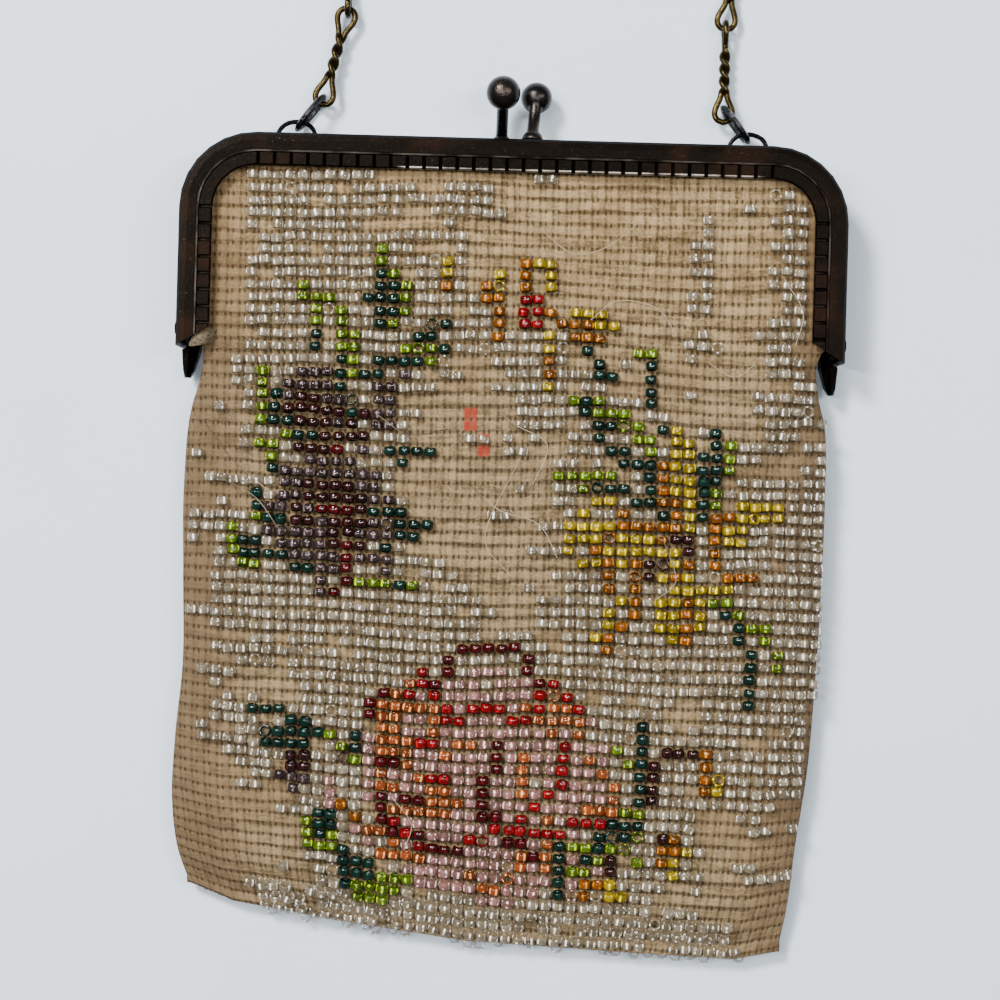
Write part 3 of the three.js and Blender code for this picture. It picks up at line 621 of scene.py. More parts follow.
run("wine", [(25, 54), (27, 55)], [(19, 41), (21, 38), (25, 38), (27, 41)])
run("red", [(17, 42), (18, 40), (20, 44), (23, 43), (26, 44), (28, 41), (30, 43)])
run("wine", [(14, 44), (15, 42)])

# %% Leaves round the rose
run("forest", [(5, 44), (9, 45), (8, 46), (10, 46)], [(6, 46), (9, 47), (6, 47)], [(13, 46), (13, 47)])
run("lime", [(11, 46), (12, 47)], [(13, 48)])
run("maroon", [(12, 48)])
petal("maroon", (8.7, 48.8), 1, 1.3)
petal("mauve", (8, 50.3), 1.2, 1.2)
run("pink", [(11, 50), (11, 52)], [(12, 52), (14, 55)])
run("amber", [(12, 52), (13, 53)])
run("lime", [(9, 54), (9, 56), (11, 56), (11, 55)])
run("forest", [(10, 53), (11, 53), (10, 54), (11, 54), (10, 55)], [(12, 56), (12, 59)],
    [(13, 57), (14, 57), (14, 58), (13, 58)])
run("lime", [(15, 58), (17, 58)], [(13, 59), (16, 59)], [(13, 60), (15, 60)])
run("forest", [(35, 44), (35, 50)], [(36, 48), (36, 49)])
run("lime", [(33, 46), (34, 47)], [(34, 51), (35, 51)])
run("forest", [(33, 52), (35, 52)], [(32, 53), (34, 53)])
run("lime", [(35, 53), (33, 54), (35, 55)])
run("forest", [(29, 54), (29, 58)], [(31, 55), (32, 54)])
run("lime", [(30, 54), (32, 55), (31, 56), (30, 56)])
run("maroon", [(33, 55), (33, 56)])
run("amber", [(31, 57), (31, 58)], [(32, 57)])
run("yellow", [(33, 57), (34, 58), (33, 58)])
run("maroon", [(37, 46), (40, 46)], [(36, 47), (36, 50)], [(37, 53)])
run("amber", [(40, 46), (40, 49)])
run("yellow", [(41, 48), (41, 49)])
run("amber", [(37, 54), (38, 53), (37, 55)])
run("yellow", [(38, 55), (39, 54), (38, 56)])
print("coloured beads on the chart:", len(chart))

# %% [markdown]
# ## Where the beads are lost
#
# The beads that fill the ground are clear. Wear has taken whole strips of them along the sewing rows and columns. Soft
# ovals say where the canvas is bare, and noise breaks up their edges into runs along the rows, as beads are lost when
# a thread gives way. Coloured beads last better, so they mostly stay.

# %% Wear
BARE = [
    # middle column and row, half width and height in cells, how bare
    (33, 7, 13, 9, 1.25), (25, 4, 4, 7, 0.7), (1.5, 8, 2.2, 9, 1.5), (20, 24, 5, 9, 0.9), (24, 29, 5, 9, 0.8),
    (1.5, 23, 4, 6, 0.8), (7, 55, 3, 6, 0.75), (43, 20, 5, 6, 0.55), (46, 56, 3.5, 8, 0.7), (30, 20, 5, 5, 0.4),
    (38, 16, 7, 5, 0.85), (4, 41, 4, 5, 0.5), (16, 3, 3, 4, 0.55), (40, 43, 6, 3, 0.4), (0.5, 56, 4.5, 9, 1.6),
    (0, 38, 2, 9, 0.9), (42, 55, 3, 6, 0.7), (47, 60, 3, 5, 1.2), (38, 60, 2, 3, 0.6),
]
KEPT = [
    # clear beads that are left where it is bare: a line down the right, the edge beside the frame, a small patch
    (38.6, 7, 0.8, 8), (45.5, 8, 1.8, 9), (27, 14.5, 2.5, 2),
]
KEPT_SHARE = 0.95
RAGGED = 0.75
BARE_ABOVE = 0.5


def oval(column, row, c, r, w, h):
    """1 well inside a soft oval of cells and 0 well outside."""
    return math.exp(-(((column - c) / w) ** 2 + ((row - r) / h) ** 2) ** 2)


def bareness(column, row):
    """Above BARE_ABOVE where the clear beads are gone."""
    most = max(size * oval(column, row, *place) for *place, size in BARE)
    for place in KEPT:
        most *= 1 - KEPT_SHARE * oval(column, row, *place)
    return most + RAGGED * noise.noise(Vector((column * 0.35, row * 0.9, 1.3)))


print("bare ovals:", len(BARE), "kept:", len(KEPT))

# %% [markdown]
# ## One bead, thousands of places
#
# A seed bead is a short round tube of glass with its hole along the sewing column. The places are worked out here,
# since the rows follow the cloth: each is a point with a turn and a chance number. Geometry Nodes then set one small
# bead mesh on every point. The tree ends with Realize Instances and Set Material, and the result is made a plain mesh.

# %% Places on the cloth
FRAME_CORNER = 11.5
LEG_SLANT = 3
FIRST_COLUMN, LAST_COLUMN = -4, 52
CLEAR_OF_LEFT_SEAM = 1.6
CLEAR_OF_RIGHT_SEAM = 1.2
STEP_BESIDE, STEP_DOWN = 0.3, 0.4


def under_frame(x, drop):
    """True where the metal frame's face would cover or touch a bead."""
    margin = FACE_WIDTH + BEAD_DIAMETER / 2
    if drop > FRAME_LEG + LEG_SLANT:
        return False
    inner = FRAME_HALF_WIDTH - margin
    radius = FRAME_CORNER - margin
    if drop < margin or abs(x) > inner:
        return True
    into_x, into_y = abs(x) - (inner - radius), margin + radius - drop
    return into_x > 0 and into_y > 0 and math.hypot(into_x, into_y) > radius


def bead_frames(side):
    """Yields the cell, drop, place and axes of every bead position on a sheet."""
    for r in range(ROWS):
        for c in range(FIRST_COLUMN, LAST_COLUMN + 1):
            shift = grid_drift(c, r)
            drop = FIRST_ROW + (r + shift[1]) * ROW_PITCH
            row, below = cloth_row(drop, side), cloth_row(drop + STEP_DOWN, side)
            arc = arc_from_middle(row)
            s = (c + shift[0] - MIDDLE_COLUMN) * column_pitch(drop)
            if not arc[0] + CLEAR_OF_LEFT_SEAM < s < arc[-1] - CLEAR_OF_RIGHT_SEAM:
                continue
            at = np.array([np.interp(s, arc, row[:, k]) for k in range(3)])
            beside = np.array([np.interp(s + STEP_BESIDE, arc, row[:, k]) for k in range(3)])
            lower = np.array([np.interp(s, arc_from_middle(below), below[:, k]) for k in range(3)])
            across = Vector(beside - at).normalized()
            up = Vector(at - lower).normalized()
            yield c, r, drop, Vector(at), across, up, across.cross(up).normalized() * side


print("bead rows:", ROWS)

# %% A bead and the tree that strings it
BEAD_HOLE = 0.3
SQUARED = 0.55
FULL_ROUND, FULL_ALONG = 0.82, 0.8


def bead_mesh(name, sides, arcs):
    """A bead one unit wide and one long, with its hole along Z. Its UV map runs round it and along it."""
    profile = []
    for k in range(arcs):
        turn = 2 * math.pi * (k + 0.5) / arcs
        push = 1 / max(abs(math.cos(turn)), abs(math.sin(turn))) ** SQUARED
        radius = BEAD_HOLE + (0.5 - BEAD_HOLE) * (0.5 + 0.5 * math.cos(turn) * push * FULL_ROUND)
        profile.append((radius, 0.5 * math.sin(turn) * push * FULL_ALONG))
    points, faces, places = [], [], []
    for i in range(sides):
        turn = 2 * math.pi * i / sides
        points += [(r * math.cos(turn), r * math.sin(turn), z) for r, z in profile]
    for i in range(sides):
        for k in range(arcs):
            j, m = (i + 1) % sides, (k + 1) % arcs
            faces.append((i * arcs + k, j * arcs + k, j * arcs + m, i * arcs + m))
            places += [(i, k), (i + 1, k), (i + 1, k + 1), (i, k + 1)]
    mesh = bpy.data.meshes.new(name)
    mesh.from_pydata(points, [], faces)
    layer = mesh.uv_layers.new(name="round")
    for loop, (i, k) in enumerate(places):
        layer.data[loop].uv = (i / sides, k / arcs)
    mesh.polygons.foreach_set("use_smooth", [True] * len(mesh.polygons))
    return bpy.data.objects.new(name, mesh)


def tree_with(name, inputs):
    """A new Geometry Nodes tree with a geometry input and output and the named inputs after it."""
    tree = bpy.data.node_groups.new(name, "GeometryNodeTree")
    tree.interface.new_socket("Geometry", in_out="INPUT", socket_type="NodeSocketGeometry")
    for label, kind in inputs:
        tree.interface.new_socket(label, in_out="INPUT", socket_type=f"NodeSocket{kind}")
    tree.interface.new_socket("Geometry", in_out="OUTPUT", socket_type="NodeSocketGeometry")
    return tree


def grow(tree, kind, settings=None, **links):
    """Adds a node to a tree. A keyword is an input's name with _ for a space. Its value is an output or a constant."""
    made = tree.nodes.new(kind)
    for key, value in (settings or {}).items():
        setattr(made, key, value)
    for key, value in links.items():
        socket = next(s for s in made.inputs if s.name == key.replace("_", " ") and s.enabled)
        if isinstance(value, bpy.types.NodeSocket):
            tree.links.new(value, socket)
        else:
            socket.default_value = value
    return made


def out(made, name=None):
    return next(s for s in made.outputs if s.enabled and name in (None, s.name))


def stringing_tree():
    """Sets a bead on every point, turned as the point says, in slightly different sizes."""
    labels = [("Bead", "Object"), ("Diameter", "Float"), ("Length", "Float"), ("Spread", "Float"), ("Seed", "Int"),
              ("Glass", "Material")]
    tree = tree_with("string_beads", labels)
    start = tree.nodes.new("NodeGroupInput")
    bead = grow(tree, "GeometryNodeObjectInfo", Object=out(start, "Bead"))
    turn = grow(tree, "GeometryNodeInputNamedAttribute", {"data_type": "FLOAT_VECTOR"}, Name="turn")
    low = grow(tree, "ShaderNodeMath", {"operation": "SUBTRACT"})
    low.inputs[0].default_value = 1
    tree.links.new(out(start, "Spread"), low.inputs[1])
    high = grow(tree, "ShaderNodeMath", {"operation": "ADD"})
    high.inputs[0].default_value = 1
    tree.links.new(out(start, "Spread"), high.inputs[1])
    chance = grow(tree, "FunctionNodeRandomValue", {"data_type": "FLOAT"}, Min=out(low), Max=out(high),
                  Seed=out(start, "Seed"))
    size = grow(tree, "ShaderNodeCombineXYZ", X=out(start, "Diameter"), Y=out(start, "Diameter"),
                Z=out(start, "Length"))
    scaled = grow(tree, "ShaderNodeVectorMath", {"operation": "SCALE"}, Scale=out(chance))
    tree.links.new(out(size), scaled.inputs[0])
    placed = grow(tree, "GeometryNodeInstanceOnPoints", Points=out(start, "Geometry"),
                  Instance=out(bead, "Geometry"), Rotation=out(turn, "Attribute"), Scale=out(scaled))
    real = grow(tree, "GeometryNodeRealizeInstances", Geometry=out(placed))
    coated = grow(tree, "GeometryNodeSetMaterial", Geometry=out(real), Material=out(start, "Glass"))
    end = tree.nodes.new("NodeGroupOutput")
    tree.links.new(out(coated), end.inputs[0])
    return tree


def grown(carrier, tree, name, **inputs):
    """Runs a tree on an object and keeps the result as a plain mesh with its own name."""
    modifier = carrier.modifiers.new(name, "NODES")
    modifier.node_group = tree
    sockets = {item.name: item.identifier for item in tree.interface.items_tree if item.in_out == "INPUT"}
    for label, value in inputs.items():
        modifier[sockets[label.replace("_", " ")]] = value
    bpy.context.view_layer.update()
    evaluated = carrier.evaluated_get(bpy.context.evaluated_depsgraph_get())
    mesh = bpy.data.meshes.new_from_object(evaluated)
    bpy.data.objects.remove(carrier)
    made = bpy.data.objects.new(name, mesh)
    mesh.name = name
    bpy.context.scene.collection.objects.link(made)
    return made


string_beads = stringing_tree()
round_bead = bead_mesh("round_bead", sides=10, arcs=6)
plain_bead = bead_mesh("plain_bead", sides=8, arcs=4)
for source in (round_bead, plain_bead):
    bpy.context.scene.collection.objects.link(source)
    source.hide_render = source.hide_viewport = True
print("faces of a bead:", len(round_bead.data.polygons))

# %% Sort the places by glass
BEAD_LENGTH = 1.6
TURNED_SHARE = 0.025
LOST_SHARE = 0.03
LIFT_SPREAD = 0.05
SLIP_ACROSS = 0.07
SLIP_UP = 0.08
HALF_SUNK = 0.5 - BEAD_BURIED / 2
TIPPED, LEANING = 0.09, 0.07
places = {}
chance = random.Random(11)


def bead_turn(across, up, out_way, tumbled):
    """Euler turn that lays a bead's hole along the column, a little askew, or towards the eye if it has tumbled."""
    along = Matrix((across, -out_way, up)).transposed()
    askew = Euler([chance.gauss(0, TIPPED), chance.gauss(0, LEANING), chance.uniform(0, 6.28)]).to_matrix()
    if tumbled:
        askew = Matrix.Rotation(math.radians(chance.uniform(60, 90)), 3, "X") @ askew
    return (along @ askew).to_euler()


for c, r, drop, at, across, up, out_way in bead_frames(1):
    if under_frame(at.x, drop):
        continue
    lift = BEAD_DIAMETER * HALF_SUNK + chance.gauss(0, LIFT_SPREAD)
    slip = across * chance.gauss(0, SLIP_ACROSS) + up * chance.gauss(0, SLIP_UP)
    tumbled = chance.random() < TURNED_SHARE
    turn = bead_turn(across, up, out_way, tumbled)
    shade = chance.random()
    glass = chart.get((c, r))
    if glass is None:
        if bareness(c, r) > BARE_ABOVE or chance.random() < LOST_SHARE:
            continue
        glass = "clear"
    places.setdefault(glass, []).append((at + out_way * lift + slip, turn, shade))
print({glass: len(found) for glass, found in places.items()})

# %% [markdown]
# ## The glass
#
# Real glass could be traced with refraction, but at this size each bead is a dozen pixels wide and would only add
# noise. What the eye sees is simple: a dark rim, a body of its colour, and upright bright lines where light runs
# down the tube. The bead's own `round` map says how far round it a point lies, so a few soft bands draw those lines.
# Clear glass also lets the canvas through, by its alpha. Forest green and the dark reds are opaque.

# %% Glass finishes
LINES_ROUND = 5
GLOSS = 0.1


def glass_finish(name, body, glow, lines, solid):
    """Glass of a body colour, with lines that glow where light runs down the tube, and its opacity between them."""
    made = Finish(name)
    shade = made.attribute("shade")
    around, along, _ = made.split(made.uv("round"))
    swirl = made.math("SINE", around * (2 * math.pi * LINES_ROUND) + shade * 30)
    outside = made.math("COSINE", along * (2 * math.pi))
    line = made.step(swirl, 0.35, 0.95) * made.step(outside, -0.2, 0.5)
    line = line * made.step(made.noise(made.place(), 0.7, 2), 0.42, 0.56) * lines
    tone = made.mix(shade, [c * 0.6 for c in body], [c * 1.3 for c in body])
    colour = made.mix(line, tone, glow)
    alpha = 1 if solid == 1 else made.math("MINIMUM", solid + line * 0.6 + shade * 0.12, 1)
    return made.done(Base_Color=colour, Roughness=GLOSS, Alpha=alpha, IOR=1.5, Specular_IOR_Level=0.4)


GLASS = {
    # body colour, colour of its bright lines, their strength, opacity
    "clear": ((0.19, 0.157, 0.105), (1, 0.96, 0.88), 0.9, 0.28),
    "forest": ((0.0008, 0.0085, 0.0055), (0.002, 0.026, 0.018), 0.5, 1),
    "lime": ((0.036, 0.062, 0.0015), (0.4, 0.52, 0.012), 1, 0.9),
    "mauve": ((0.018, 0.011, 0.0115), (0.2, 0.135, 0.125), 0.8, 0.9),
    "maroon": ((0.009, 0.0015, 0.0015), (0.06, 0.01, 0.01), 0.5, 1),
    "wine": ((0.024, 0.0002, 0.0008), (0.11, 0.0015, 0.004), 0.6, 1),
    "red": ((0.085, 0.0002, 0.0012), (0.4, 0.003, 0.008), 0.7, 1),
    "salmon": ((0.15, 0.03, 0.006), (0.86, 0.36, 0.12), 1, 0.74),
    "pink": ((0.21, 0.095, 0.085), (1, 0.76, 0.72), 0.9, 0.42),
    "amber": ((0.1, 0.026, 0.0008), (0.52, 0.2, 0.012), 0.9, 0.92),
    "yellow": ((0.15, 0.1, 0.001), (0.88, 0.7, 0.03), 0.95, 0.88),
}
finishes = {name: glass_finish(f"{name}_glass", *values) for name, values in GLASS.items()}
print("glasses:", len(finishes))

# %% [markdown]
# ## Stringing the beads
#
# The beads of one glass become one mesh, so that each mesh has one material. The places are first made a mesh of loose
# points, and the turn and shade of each are kept as attributes that the tree and the glass can read. The back has
# clear beads only, of fewer faces, because it lies on the table. A few loose ones hang along the hem, turned anyhow.

# %% Beads on the front
SIZE_SPREAD = 0.06


def sheet_of_beads(name, found, bead, glass, seed, length=BEAD_LENGTH):
    """Sets beads of one glass on their places, and keeps them as one mesh."""
    carrier = new_mesh(f"{name}_places", [p for p, _, _ in found], [])
    for label, kind, values in (("turn", "FLOAT_VECTOR", [t for _, t, _ in found]),
                                ("shade", "FLOAT", [s for _, _, s in found])):
        layer = carrier.data.attributes.new(label, kind, "POINT")
        if kind == "FLOAT":
            layer.data.foreach_set("value", values)
        else:
            layer.data.foreach_set("vector", [x for turn in values for x in turn])
    made = grown(carrier, string_beads, name, Bead=bead, Diameter=BEAD_DIAMETER * MM, Length=length * MM,
                 Spread=SIZE_SPREAD, Seed=seed, Glass=glass)
    print(name, len(found), "beads,", len(made.data.polygons) * 2, "triangles")
    return made


bead_pieces = []
for number, (glass, found) in enumerate(sorted(places.items())):
    bead_pieces.append(sheet_of_beads(f"{glass}_beads", found, round_bead, finishes[glass], number))

# %% Beads on the back
BACK_SEED = 40
back_places = []
for c, r, drop, at, across, up, out_way in bead_frames(-1):
    if under_frame(at.x, drop):
        continue
    lift = BEAD_DIAMETER * HALF_SUNK
    back_places.append((at + out_way * lift, bead_turn(across, up, out_way, False), chance.random()))
half_way = len(back_places) // 2
for name, found in (("back_beads_upper", back_places[:half_way]), ("back_beads_lower", back_places[half_way:])):
    bead_pieces.append(sheet_of_beads(name, found, plain_bead, finishes["clear"], BACK_SEED))

# %% Beads along the hem
HEM_BEAD_PITCH = 2.3
HEM_BEAD_LENGTH = 1.2
HEM_START, HEM_END = -34, 38
HEM_LOST_SHARE = 0.25
HEM_SEED = 41
HEM_ROW_DROP = BAG_LENGTH - 0.4
HEM_UNDER_CLOTH = 0.6
HEM_LOWEST = 1.1
hem = cloth_row(HEM_ROW_DROP, 1)
hem_arc = arc_from_middle(hem)
hem_places = []
for s in np.arange(HEM_START, HEM_END, HEM_BEAD_PITCH):
    if chance.random() < HEM_LOST_SHARE:
        continue
    x, y, z = (float(np.interp(s + chance.uniform(-0.5, 0.5), hem_arc, hem[:, k])) for k in range(3))
    at = Vector((x, y - chance.uniform(0.1, 0.9), max(HEM_LOWEST, z - HEM_UNDER_CLOTH)))
    turn = Euler((chance.uniform(-0.5, 0.5), chance.uniform(-0.5, 0.5), chance.uniform(0, 6.28)))
    hem_places.append((at, turn, chance.random()))
hem_beads = sheet_of_beads("hem_beads", hem_places, round_bead, finishes["clear"], HEM_SEED, HEM_BEAD_LENGTH)
bead_pieces.append(hem_beads)

# %% [markdown]
# ## The metal
#
# The frame's halves, rivets, eyelets and rings keep their CAD shape. Old bronzing is nearly black, with red-brown
# blotches where it has oxidised, and bright ends of the crimped cells where hands have rubbed the top bar. The steel
# rings are colder, the knobs are a grey gunmetal, and the chain is brass that has gone olive.

# %% Metal finishes
SPECK_SHARE = 0.07


def old_metal(name, dark, warm, rubbed, warm_share, rough, wear=None):
    """Dark metal with warm blotches and rubbed specks. Wear is a function that gives the mask of polished places."""
    made = Finish(name)
    at = made.place()
    blotch = made.step(made.noise(at, 7, 4), 0.48, 0.72) * warm_share
    grit = made.noise(at, 0.35, 3)
    colour = made.mix(blotch, dark, warm)
    colour = made.mix(made.step(grit, 0.62, 0.8) * SPECK_SHARE, colour, rubbed)
    if wear:
        colour = made.mix(wear(made, at), colour, rubbed)
    roughness = rough[0] + (rough[1] - rough[0]) * grit + blotch * 0.2
    pits = made.bump(grit + made.noise(at, 0.12, 2) * 0.4, 0.05)
    return made.done(Base_Color=colour, Metallic=0.92, Roughness=roughness, Specular_IOR_Level=0.15, Normal=pits)


CRIMP_PITCH = 2.5
RIDGE_LEVELS = (10.25, 10.4)
FACE_LEVELS = (9, 9.5)
LEG_CRIMPS_END = 47.4
RUBBED_FROM, RUBBED_TO = -18, 38


def frame_wear(made, at):
    """The ridge, the crimped lines down the legs and the lower edge between the crimps at the top."""
    across, y, z = made.split(at)
    x = made.math("ABSOLUTE", across)
    below = y - TOP_EDGE / MM
    cloudy = made.step(made.noise(at, 4, 2), 0.38, 0.62)
    ridge = made.step(z, *RIDGE_LEVELS) * 0.04 * cloudy
    from_crimp = made.math("ABSOLUTE", made.math("FRACT", (below + FRAME_CORNER) * (1 / CRIMP_PITCH) + 0.5) - 0.5)
    low_enough = made.step(below, -FRAME_CORNER + 1, -FRAME_CORNER)
    on_leg = low_enough * made.band(x, FRAME_HALF_WIDTH - FACE_WIDTH - 1, LEG_CRIMPS_END, 0.5)
    lines = made.step(from_crimp, 0.07, 0.03) * on_leg
    from_cell = made.math("ABSOLUTE", made.math("FRACT", x * (1 / CRIMP_PITCH) + 0.5) - 0.5)
    on_edge = made.band(below, -FACE_WIDTH - 0.2, -FACE_WIDTH + 0.4, 0.12)
    on_edge = on_edge * made.band(across, RUBBED_FROM, RUBBED_TO, 2)
    cells = made.step(from_cell, 0.4, 0.34) * on_edge * (0.25 + 0.75 * cloudy)
    facing = made.step(z, *FACE_LEVELS)
    return made.math("MINIMUM", ridge + lines * facing * (0.02 + 0.1 * cloudy) + cells * facing * 0.6, 1)


bronzed = old_metal("bronzed_metal", (0.0026, 0.0018, 0.0012), (0.012, 0.0052, 0.003), (0.5, 0.44, 0.36), 0.6,
                    (0.3, 0.45), frame_wear)
gunmetal = old_metal("gunmetal", (0.022, 0.019, 0.018), (0.05, 0.033, 0.024), (0.2, 0.18, 0.17), 0.5, (0.14, 0.3))
steel = old_metal("dark_steel", (0.018, 0.019, 0.02), (0.04, 0.03, 0.026), (0.25, 0.24, 0.23), 0.4, (0.18, 0.34))
gilt = old_metal("gilt_wire", (0.034, 0.023, 0.007), (0.016, 0.009, 0.0035), (0.3, 0.23, 0.09), 0.7, (0.1, 0.2))
for node in ("frame_front", "frame_back", "hinge_rivet_left", "hinge_rivet_right"):
    dress(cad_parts[node], bronzed)
for node in ("eyelet_left", "eyelet_right", "ring_left", "ring_right"):
    dress(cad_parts[node], steel)
print("metals:", bronzed.name, gunmetal.name, steel.name, gilt.name)

# %% [markdown]
# ## The clasp knobs
#
# Each knob is a polished ball on a stem that leans across the frame, above a small collar. Its CAD solid has few
# sides, so it is turned again with many, from one list of rings: the collar, the stem, and the ball up to its pole.

# %% Turned knobs
KNOB_SIDES = 32
BALL_STEPS = 16
POLE_GAP = 0.02
STEM_RADIUS = 0.9
STEM_START = 0.4
BALL_REACH = 7.3
COLLAR = ((-0.4, 0.9), (0.05, 1.2), (0.1, 1.6), (0.45, 1.6), (0.85, 1.45), (1.2, 1.18), (1.4, 0.95))
BACK_CHANNEL_LEVEL = 2.525
FRONT_CHANNEL_LEVEL = 7.75


def turned_knob(name, stem_x, stem_level, ball_radius, ball_shift, ball_level):
    """A knob of rings of points, each with a middle, a radius and the way that it faces, closed at both ends."""
    foot, ball = Vector((stem_x, 0, stem_level)), Vector((stem_x + ball_shift, BALL_REACH, ball_level))
    upright = Vector((0, 1, 0))
    rings = [(foot + upright * y, radius, upright) for y, radius in COLLAR]
    lean = (ball - rings[-1][0]).normalized()
    rings.append((rings[-1][0] + lean * STEM_START, STEM_RADIUS, lean))
    start = math.asin(STEM_RADIUS / ball_radius)
    for k in range(BALL_STEPS + 1):
        turn = start + (math.pi - POLE_GAP - start) * k / BALL_STEPS
        rings.append((ball - lean * ball_radius * math.cos(turn), ball_radius * math.sin(turn), lean))
    points, faces = [], []
    for middle, radius, way in rings:
        u = way.cross(Vector((0, 0, 1))).normalized()
        v = way.cross(u)
        turns = [2 * math.pi * i / KNOB_SIDES for i in range(KNOB_SIDES)]
        points += [middle + (u * math.cos(t) + v * math.sin(t)) * radius for t in turns]
    for k in range(len(rings) - 1):
        for i in range(KNOB_SIDES):
            a, b = k * KNOB_SIDES + i, k * KNOB_SIDES + (i + 1) % KNOB_SIDES
            faces.append((a, b, b + KNOB_SIDES, a + KNOB_SIDES))
    faces.append(tuple(reversed(range(KNOB_SIDES))))
    faces.append(tuple(len(points) - KNOB_SIDES + i for i in range(KNOB_SIDES)))
    made = smooth(new_mesh(name, points, faces))
    dress(made, gunmetal)
    return made


knob_back = turned_knob("knob_back", stem_x=-2.2, stem_level=BACK_CHANNEL_LEVEL, ball_radius=2.6, ball_shift=0.1,
                        ball_level=FRONT_CHANNEL_LEVEL - STEM_RADIUS / 2)
knob_front = turned_knob("knob_front", stem_x=2.5, stem_level=FRONT_CHANNEL_LEVEL, ball_radius=2.4, ball_shift=0.5,
                         ball_level=BACK_CHANNEL_LEVEL + STEM_RADIUS)
print("knob faces:", len(knob_back.data.polygons))

# %% [markdown]
# ## The chain
#
# Every link is one closed wire: a loop at each end, and its two strands twisted round each other between them. The
# CAD links have few sides, so each is drawn again along its own line, and a small tree gives the lines their round
# section. A link lies from its far end to the end nearer the left eyelet, and its loops stand a quarter turn apart.

# %% Links
LINK_LENGTH = 16.5
LINK_WIDTH = 3.7
LINK_LOOP = 4.5
LINK_WIRE = 0.95
LINK_STEPS = 96
STRANDS_APART = 0.47
TWISTS = 1.75
FIRST_TWISTS = 1.5


def wire_tree():
    """Gives every line of a curve a round section."""
    tree = tree_with("round_wire", [("Wire", "Float"), ("Sides", "Int"), ("Metal", "Material")])
    start = tree.nodes.new("NodeGroupInput")
    half = grow(tree, "ShaderNodeMath", {"operation": "DIVIDE"})
    tree.links.new(out(start, "Wire"), half.inputs[0])
    half.inputs[1].default_value = 2
    ring = grow(tree, "GeometryNodeCurvePrimitiveCircle", Resolution=out(start, "Sides"), Radius=out(half))
    tube = grow(tree, "GeometryNodeCurveToMesh", Curve=out(start, "Geometry"), Profile_Curve=out(ring), Fill_Caps=True)
    soft = grow(tree, "GeometryNodeSetShadeSmooth", Geometry=out(tube))
    real = grow(tree, "GeometryNodeRealizeInstances", Geometry=out(soft))
    coated = grow(tree, "GeometryNodeSetMaterial", Geometry=out(real), Material=out(start, "Metal"))
    end = tree.nodes.new("NodeGroupOutput")
    tree.links.new(out(coated), end.inputs[0])
    return tree


round_wire = wire_tree()


def wire(name, lines, thickness, metal, sides=10, closed=True):
    """Round wire along lines of points in millimetres."""
    curve = bpy.data.curves.new(name, "CURVE")
    curve.dimensions = "3D"
    for line in lines:
        spline = curve.splines.new("POLY")
        spline.points.add(len(line) - 1)
        spline.points.foreach_set("co", [x for p in line for x in (*metres(p), 1)])
        spline.use_cyclic_u = closed
    carrier = bpy.data.objects.new(f"{name}_line", curve)
    bpy.context.scene.collection.objects.link(carrier)
    return grown(carrier, round_wire, name, Wire=thickness * MM, Sides=sides, Metal=metal)


def strand_spread(from_end):
    """Half the distance between a link's two strands."""
    loop, twist = (LINK_WIDTH - LINK_WIRE) / 2, LINK_WIRE * STRANDS_APART
    if from_end < loop:
        return math.sqrt(max(0, loop**2 - (loop - from_end) ** 2))
    fall = min(1, (from_end - loop) / (LINK_LOOP - loop))
    return twist + (loop - twist) * (1 + math.cos(math.pi * fall)) / 2


def link_line(turns):
    """The wire's middle line for a link along X, its loops level at the start."""
    reach = (LINK_LENGTH - LINK_WIRE) / 2
    twist_half = reach - LINK_LOOP
    points = []
    for k in range(LINK_STEPS):
        t = k / LINK_STEPS
        along, side = (4 * t - 1, 1) if t < 0.5 else (3 - 4 * t, -1)
        x = reach * (0.25 * math.sin(along * math.pi / 2) + 0.75 * along)
        spread = strand_spread(reach - abs(x)) * side
        angle = -2 * math.pi * turns * min(1, max(0, (x + twist_half) / (2 * twist_half)))
        points.append(Vector((x, spread * math.cos(angle), spread * math.sin(angle))))
    return points


def cad_points(node):
    """A CAD node's corners, in millimetres below the frame's top edge."""
    points = np.array([v.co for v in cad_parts[node].data.vertices]) / MM
    return points - (0, TOP_EDGE / MM, 0)


link_names = sorted(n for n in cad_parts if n.startswith("chain_link"))
link_points = [cad_points(n) for n in link_names]
middles = [p.mean(axis=0) for p in link_points]
lines = []
for number, (points, middle) in enumerate(zip(link_points, middles)):
    direction = np.linalg.svd(points - middle)[2][0]
    towards = middles[1] - middles[0] if number == 0 else middles[number - 1] - middle
    run_way = Vector(direction if direction @ towards > 0 else -direction)
    level_way = Vector((-run_way.y, run_way.x, 0)).normalized()
    turn = Matrix((run_way, level_way, run_way.cross(level_way))).transposed()
    reach = (points - middle) @ np.array(run_way)
    centre = Vector(middle) + run_way * (reach.max() + reach.min()) / 2
    lines.append([centre + turn @ p for p in link_line(TWISTS if number else FIRST_TWISTS)])
chain = wire("handle_chain", lines, LINK_WIRE, gilt)
print("links:", len(lines), "triangles:", len(chain.data.polygons) * 2)

# %% [markdown]
# ## Loose threads
#
# Fine hair-like threads have come out of the canvas and lie on the beads in lazy curves. Each is a short smooth line
# through a few points, with the same round-wire tree at a tenth of a millimetre. A small tab of cloth also sticks out
# under the end of the frame's left leg.

